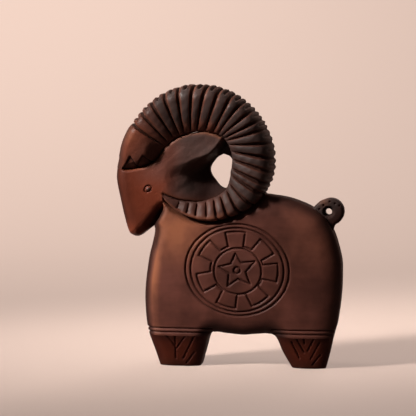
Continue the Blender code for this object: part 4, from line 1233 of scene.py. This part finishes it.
def horn_masks(stations, shares, flat, shoulder, nicks, chips, line):
    """Where wear and painted highlights warm a horn, where painted shade darkens it, and where its dark wax
    stands partly for painted grey sheen.
    """
    degrees = stations[:, None]
    spots = flat.reshape(-1, 2)
    profile, brow = [distance_to_path(spots, path).reshape(shares.shape) for path in (PROFILE, BROW_LINE)]
    right, up = np.moveaxis(flat - ROOT_LIT, -1, 0)
    ribbed = ribbed_share(degrees)
    lower = smooth_step(-45, -75, degrees)
    upper = smooth_step(40, 65, degrees)
    band = lower * smooth_step(0.60, 0.82, shares)
    # Wear with painted highlights: the lit low band of the curl, the lit shoulders of the grooves, and a
    # painted highlight on the root
    rub = painted(HORN_RUB_AND_HIGHLIGHT, {
        "low band": band,
        "shoulders": (1 + 2 * upper * smooth_step(0.2, 0.8, shares)) / 3 * shoulder * ribbed,
        "root": fade_out(0.0, 0.0065, np.hypot(right, up)),
    })
    # Painted shade: on the right side and lower curl where the ribs turn from the light, on the top-left
    # ribs, in nicks, chips, zigzag and at the inner edge, at rim and profile partly a dark edge stain, and on
    # the root away from its highlight and towards the brow
    top_left = (0.5385 + 0.4615 * bell(120, 12, degrees)) * smooth_step(100, 125, degrees)
    towards_ear = smooth_step(HORN_X - 0.036, HORN_X - 0.022, flat[..., 0])
    shade = painted(HORN_SHADE, {
        "rim": smooth_step(0.88, 0.98, shares),
        "nicks": nicks,
        "right": bell(5, 48, degrees) * (0.575 + 0.425 * smooth_step(0.66, 0.98, shares)),
        "low right": bell(-30, 38, degrees) * (1 - band),
        "curl": 0.595 * lower + 0.405 * band,
        "top left": top_left * ribbed * fade_out(0.95, 1.0, shares),
        "inner edge": fade_out(0.0, 0.25, shares) * ribbed,
        "chips": np.minimum(1, 2.2 * chips),
        "zigzag": smooth_step(0.3, 0.7, line),
        "root": smooth_step(0.003, 0.014, 0.66 * right - 0.75 * up) * (1 - ribbed),
        "profile": fade_out(0.0008, 0.0062, profile) * (1 - ribbed),
        "brow": fade_out(0.0, 0.0070, brow) * towards_ear,
    })
    # Dark wax on the ribs, which stands partly for their painted grey sheen
    wax = smooth_step(BROW_ANGLE + 4, BROW_ANGLE - 34, degrees) * (1 - 0.45 * lower) * (1 - band)
    wax = wax * (1 - upper * fade_out(0.05, 0.35, shares) - 0.8 * smooth_step(0.88, 0.99, shares))
    return {"rub": rub, "shade": shade, "wax": wax * (1 - 0.75 * shoulder)}


def tube_faces(count, around):
    """Faces of a tube with a count of sections and points around each, closed at both ends."""
    faces = []
    for i in range(count - 1):
        for j in range(around):
            k = (j + 1) % around
            faces.append((i * around + j, i * around + k, (i + 1) * around + k, (i + 1) * around + j))
    faces.append(tuple(range(around)))
    faces.append(tuple((count - 1) * around + j for j in range(around)))
    return faces


class FIGURINE_OT_horns(bpy.types.Operator):
    """Carve both ribbed horns"""
    bl_idname = "figurine.horns"
    bl_label = "Horns"

    def execute(self, context):
        carving = context.scene.figurine_carving
        stations, shares, flat, heights = horn_surface()
        ribs, shoulder, nicks = rib_cuts(stations, shares, flat, carving)
        chips, line = brow_cuts(flat, carving)
        chip_share, line_share = chips / carving.chip_depth, line / carving.line_depth
        masks = horn_masks(stations, shares, flat, shoulder, nicks, chip_share, line_share)
        # Grooves are painted dark: partly stain pooled in them, partly painted shade in their depth
        masks["cut"] = painted(HORN_CUT, {"grooves": smooth_step(0.12, 0.45, ribs / carving.groove_depth),
                                          "zigzag": line_share})
        masks = {name: mask.ravel() for name, mask in masks.items()}
        depth = np.maximum(ribs, chips + line).ravel()
        chiselled = np.repeat(HORN_FINE_DENT + RIB_DENT * ribbed_share(stations), shares.shape[1])
        faces = tube_faces(*shares.shape)
        for word, side in SIDES.items():
            points = np.stack([flat[..., 0], side * heights, flat[..., 1]], -1).reshape(-1, 3)
            horn = new_object(f"carved_{word}_horn", points, faces)
            x, y, z = points.T
            dents = HORN_DENT * hand_waves(x, y, z) + chiselled * hand_waves(2.6 * x, 2 * y, 3.2 * z)
            carve(horn, depth + dents * smooth_step(0.0, 0.08, shares.ravel()))
            close_seam(horn, np.isclose(np.abs(y), SEAM_HALF), side)
            paint(horn, **masks)
            settle(horn, f"{word}_horn", finish_materials()["horn_stain"])
        return {"FINISHED"}


class FIGURINE_OT_eyes(bpy.types.Operator):
    """Set a small raised pupil in each carved eye"""
    bl_idname = "figurine.eyes"
    bl_label = "Eyes"

    def execute(self, context):
        seat = float(head_half(np.array([EYE_SPOT]))[0]) - PUPIL_SUNK
        for word, side in SIDES.items():
            bm = bmesh.new()
            bmesh.ops.create_uvsphere(bm, u_segments=32, v_segments=20, radius=1.0)
            pupil = new_object(f"carved_{word}_pupil", [tuple(v.co) for v in bm.verts],
                               [tuple(v.index for v in face.verts) for face in bm.faces])
            bm.free()
            pupil.scale = PUPIL_HALF
            pupil.rotation_euler = (0, -EYE_TILT, 0)
            pupil.location = (EYE_SPOT[0], side * seat, EYE_SPOT[1])
            paint(pupil, wax=PUPIL_WAX_AND_SHEEN)
            settle(pupil, f"{word}_eye", finish_materials()["eye_stain"])
        return {"FINISHED"}


class FIGURINE_OT_tail(bpy.types.Operator):
    """Carve the pierced tail loop with its punched dots"""
    bl_idname = "figurine.tail"
    bl_label = "Tail"

    def execute(self, context):
        carving = context.scene.figurine_carving
        outline = TAIL_EDGE + [(TAIL_X - TAIL_RADIUS, TAIL_Z - TAIL_RADIUS)]
        bore = oval(BORE_SPOT, TAIL_BORE, TAIL_BORE, 48)
        dots = [([dot, (dot[0] + DOT_LENGTH, dot[1])], False) for dot in TAIL_DOTS]
        tail = carved_slab("carved_tail_loop", outline, tail_half, TAIL_ROUND, dots, [bore], TAIL_GRIDS)
        x, y, z = coordinates(tail).T
        flat = np.stack([x, z], 1)
        punched = stroke_depth(flat, dots, 2 * carving.dot_radius, carving.dot_radius)
        punched *= np.abs(y) > 0.5 * TAIL_HALF
        carve(tail, punched)
        across, up = x - TAIL_X, z - TAIL_Z
        # Painted highlight at the upper left of the loop; painted shade elsewhere, strongest towards the
        # lower right, where the wax thins
        below = smooth_step(-0.003, 0.008, across - up)
        gleam = fade_out(0.0, 0.0048, np.hypot(across + 0.0032, up - 0.0045))
        paint(tail, cut=TAIL_CUT * punched / carving.dot_radius, wax=1 - 0.5 * below, rub=TAIL_HIGHLIGHT * gleam,
              shade=painted(TAIL_SHADE, {"below": below, "plain": 1 - gleam}))
        settle(tail, "tail_loop", finish_materials()["hoof_stain"])
        return {"FINISHED"}


class FIGURINE_OT_dowels(bpy.types.Operator):
    """Give the hidden dowels their bare wood"""
    bl_idname = "figurine.dowels"
    bl_label = "Dowels"

    def execute(self, context):
        material = finish_materials()["dowel_wood"]
        for name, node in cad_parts.items():
            if "dowel" in name:
                node.data.materials.clear()
                node.data.materials.append(material)
        return {"FINISHED"}


# Stage

FIGURE_MIDDLE = (0.0, 0.0, 0.08)
CAMERA_PLACE = (0.1025, -0.8140, 0.1406)
CAMERA_TARGET = (-0.01195, 0.0, 0.0831)
CAMERA_SENSOR = 36.0
SWEEP_HALF = 6.0
SWEEP_BEND = 0.5
SWEEP_BACK = 1.0
SWEEP_TOP = 2.4
GLOW_SHARE = 0.45
LIT_SHARE = 0.32
ROOM_LIGHT = (0.040, 0.037, 0.036)
WARM, NEUTRAL = (1.0, 0.95, 0.90), (1.0, 0.98, 0.97)


def soft_light(name, place, target, energy, spread, extent, tint):
    """A rectangular lamp that faces a target."""
    lamp = bpy.data.lights.new(name, "AREA")
    lamp.shape = "RECTANGLE"
    lamp.size, lamp.size_y = extent
    lamp.energy = energy
    lamp.spread = spread
    lamp.color = tint
    obj = bpy.data.objects.new(name, lamp)
    obj.location = place
    obj.rotation_euler = (Vector(target) - Vector(place)).to_track_quat("-Z", "Y").to_euler()
    bpy.context.scene.collection.objects.link(obj)
    return obj


def seen_directly(tree):
    """A value that is 1 for rays from the camera, also by way of a gloss or through glass."""
    rays = add_node(tree, "ShaderNodeLightPath", (-900, 200)).outputs
    seen = math_value(tree, "MAXIMUM", (-650, 200), rays["Is Camera Ray"], rays["Is Glossy Ray"])
    return math_value(tree, "MAXIMUM", (-450, 200), seen, rays["Is Transmission Ray"])


def dimmed(tint, share):
    """A colour at a share of its brightness, with full alpha."""
    return (*(share * channel for channel in tint), 1)


def studio_world(colours):
    """A pale room to look at, which lights the figure only a little."""
    world = bpy.data.worlds.new("studio_world")
    world.use_nodes = True
    tree = world.node_tree
    pale = dimmed(colours.floor, GLOW_SHARE)
    room = mixed_colour(tree, (-250, 200), seen_directly(tree), (*ROOM_LIGHT, 1), pale)
    plug(tree, tree.nodes["Background"], {"Color": room})
    return world


def sweep_material(colours):
    """A pale sweep to look at, which throws little light back on the figure."""
    material = bpy.data.materials.new("pale_sweep")
    material.use_nodes = True
    tree = material.node_tree
    seen = seen_directly(tree)
    pale = dimmed(colours.floor, LIT_SHARE)
    plug(tree, tree.nodes["Principled BSDF"], {
        "Base Color": mixed_colour(tree, (-250, 200), seen, (*colours.bounce, 1), pale),
        "Emission Color": (*colours.floor, 1),
        "Emission Strength": math_value(tree, "MULTIPLY", (-250, -100), seen, GLOW_SHARE),
        "Roughness": 0.9,
        "Specular IOR Level": 0.0})
    return material


def studio_sweep():
    """A floor that bends up into a backdrop behind the figure."""
    bend_start = SWEEP_BACK - SWEEP_BEND
    profile = [(-SWEEP_HALF, 0.0), (bend_start, 0.0)]
    profile += [(bend_start + SWEEP_BEND * math.sin(turn), SWEEP_BEND - SWEEP_BEND * math.cos(turn))
                for turn in np.linspace(0, math.pi / 2, 24)[1:]]
    profile.append((SWEEP_BACK, SWEEP_TOP))
    points = [(x, y, z) for y, z in profile for x in (-SWEEP_HALF, SWEEP_HALF)]
    faces = [(2 * i, 2 * i + 1, 2 * i + 3, 2 * i + 2) for i in range(len(profile) - 1)]
    return new_object("studio_sweep", points, faces)


class FIGURINE_OT_stage(bpy.types.Operator):
    """Set up the pale sweep, the soft lights and the camera"""
    bl_idname = "figurine.stage"
    bl_label = "Stage"

    def execute(self, context):
        scene = context.scene
        studio = scene.figurine_studio
        sweep = studio_sweep()
        sweep.data.materials.append(sweep_material(scene.figurine_colours))
        soft_light("key", place=(-0.66, -0.38, 0.58), target=(-0.115, 0.0, 0.125), energy=studio.key,
                   spread=studio.key_spread, extent=(0.26, 0.26), tint=WARM)
        soft_light("fill", place=(-0.3, -1.2, 0.7), target=FIGURE_MIDDLE, energy=studio.fill,
                   spread=math.radians(120), extent=(0.8, 0.8), tint=NEUTRAL)
        soft_light("wall", place=(-0.5, 0.15, 1.3), target=(-0.35, SWEEP_BACK, 0.45), energy=studio.wall,
                   spread=math.radians(110), extent=(0.8, 0.5), tint=WARM)
        back = soft_light("back", place=(0.28, 0.82, 0.62), target=FIGURE_MIDDLE, energy=studio.back,
                          spread=math.radians(40), extent=(0.5, 0.3), tint=NEUTRAL)
        back.visible_glossy = False
        scene.world = studio_world(scene.figurine_colours)
        camera = bpy.data.objects.new("camera", bpy.data.cameras.new("camera"))
        camera.data.lens = studio.lens
        camera.data.sensor_width = CAMERA_SENSOR
        camera.location = CAMERA_PLACE
        camera.rotation_euler = (Vector(CAMERA_TARGET) - camera.location).to_track_quat("-Z", "Y").to_euler()
        scene.collection.objects.link(camera)
        scene.camera = camera
        scene.view_settings.view_transform = "Standard"
        return {"FINISHED"}


class FIGURINE_PT_sidebar(bpy.types.Panel):
    bl_idname = "FIGURINE_PT_sidebar"
    bl_label = "Carved goat figurine"
    bl_space_type = "VIEW_3D"
    bl_region_type = "UI"
    bl_category = "Figurine"

    def draw(self, context):
        for operator in OPERATORS:
            self.layout.operator(operator.bl_idname)
        for settings in (context.scene.figurine_carving, context.scene.figurine_colours,
                         context.scene.figurine_studio):
            box = self.layout.box()
            for name in settings.__annotations__:
                box.prop(settings, name)


SETTINGS = {"figurine_carving": FigurineCarving, "figurine_colours": FigurineColours,
            "figurine_studio": FigurineStudio}
OPERATORS = (FIGURINE_OT_body, FIGURINE_OT_hooves, FIGURINE_OT_head, FIGURINE_OT_horns, FIGURINE_OT_eyes,
             FIGURINE_OT_tail, FIGURINE_OT_dowels, FIGURINE_OT_stage)


def register():
    for cls in (*SETTINGS.values(), *OPERATORS, FIGURINE_PT_sidebar):
        bpy.utils.register_class(cls)
    for name, cls in SETTINGS.items():
        setattr(bpy.types.Scene, name, PointerProperty(type=cls))


def unregister():
    for name in SETTINGS:
        delattr(bpy.types.Scene, name)
    for cls in reversed((*SETTINGS.values(), *OPERATORS, FIGURINE_PT_sidebar)):
        bpy.utils.unregister_class(cls)


def main():
    register()
    bpy.ops.figurine.body()
    bpy.ops.figurine.hooves()
    bpy.ops.figurine.head()
    bpy.ops.figurine.horns()
    bpy.ops.figurine.eyes()
    bpy.ops.figurine.tail()
    bpy.ops.figurine.dowels()
    bpy.ops.figurine.stage()


if __name__ == "__main__":
    main()
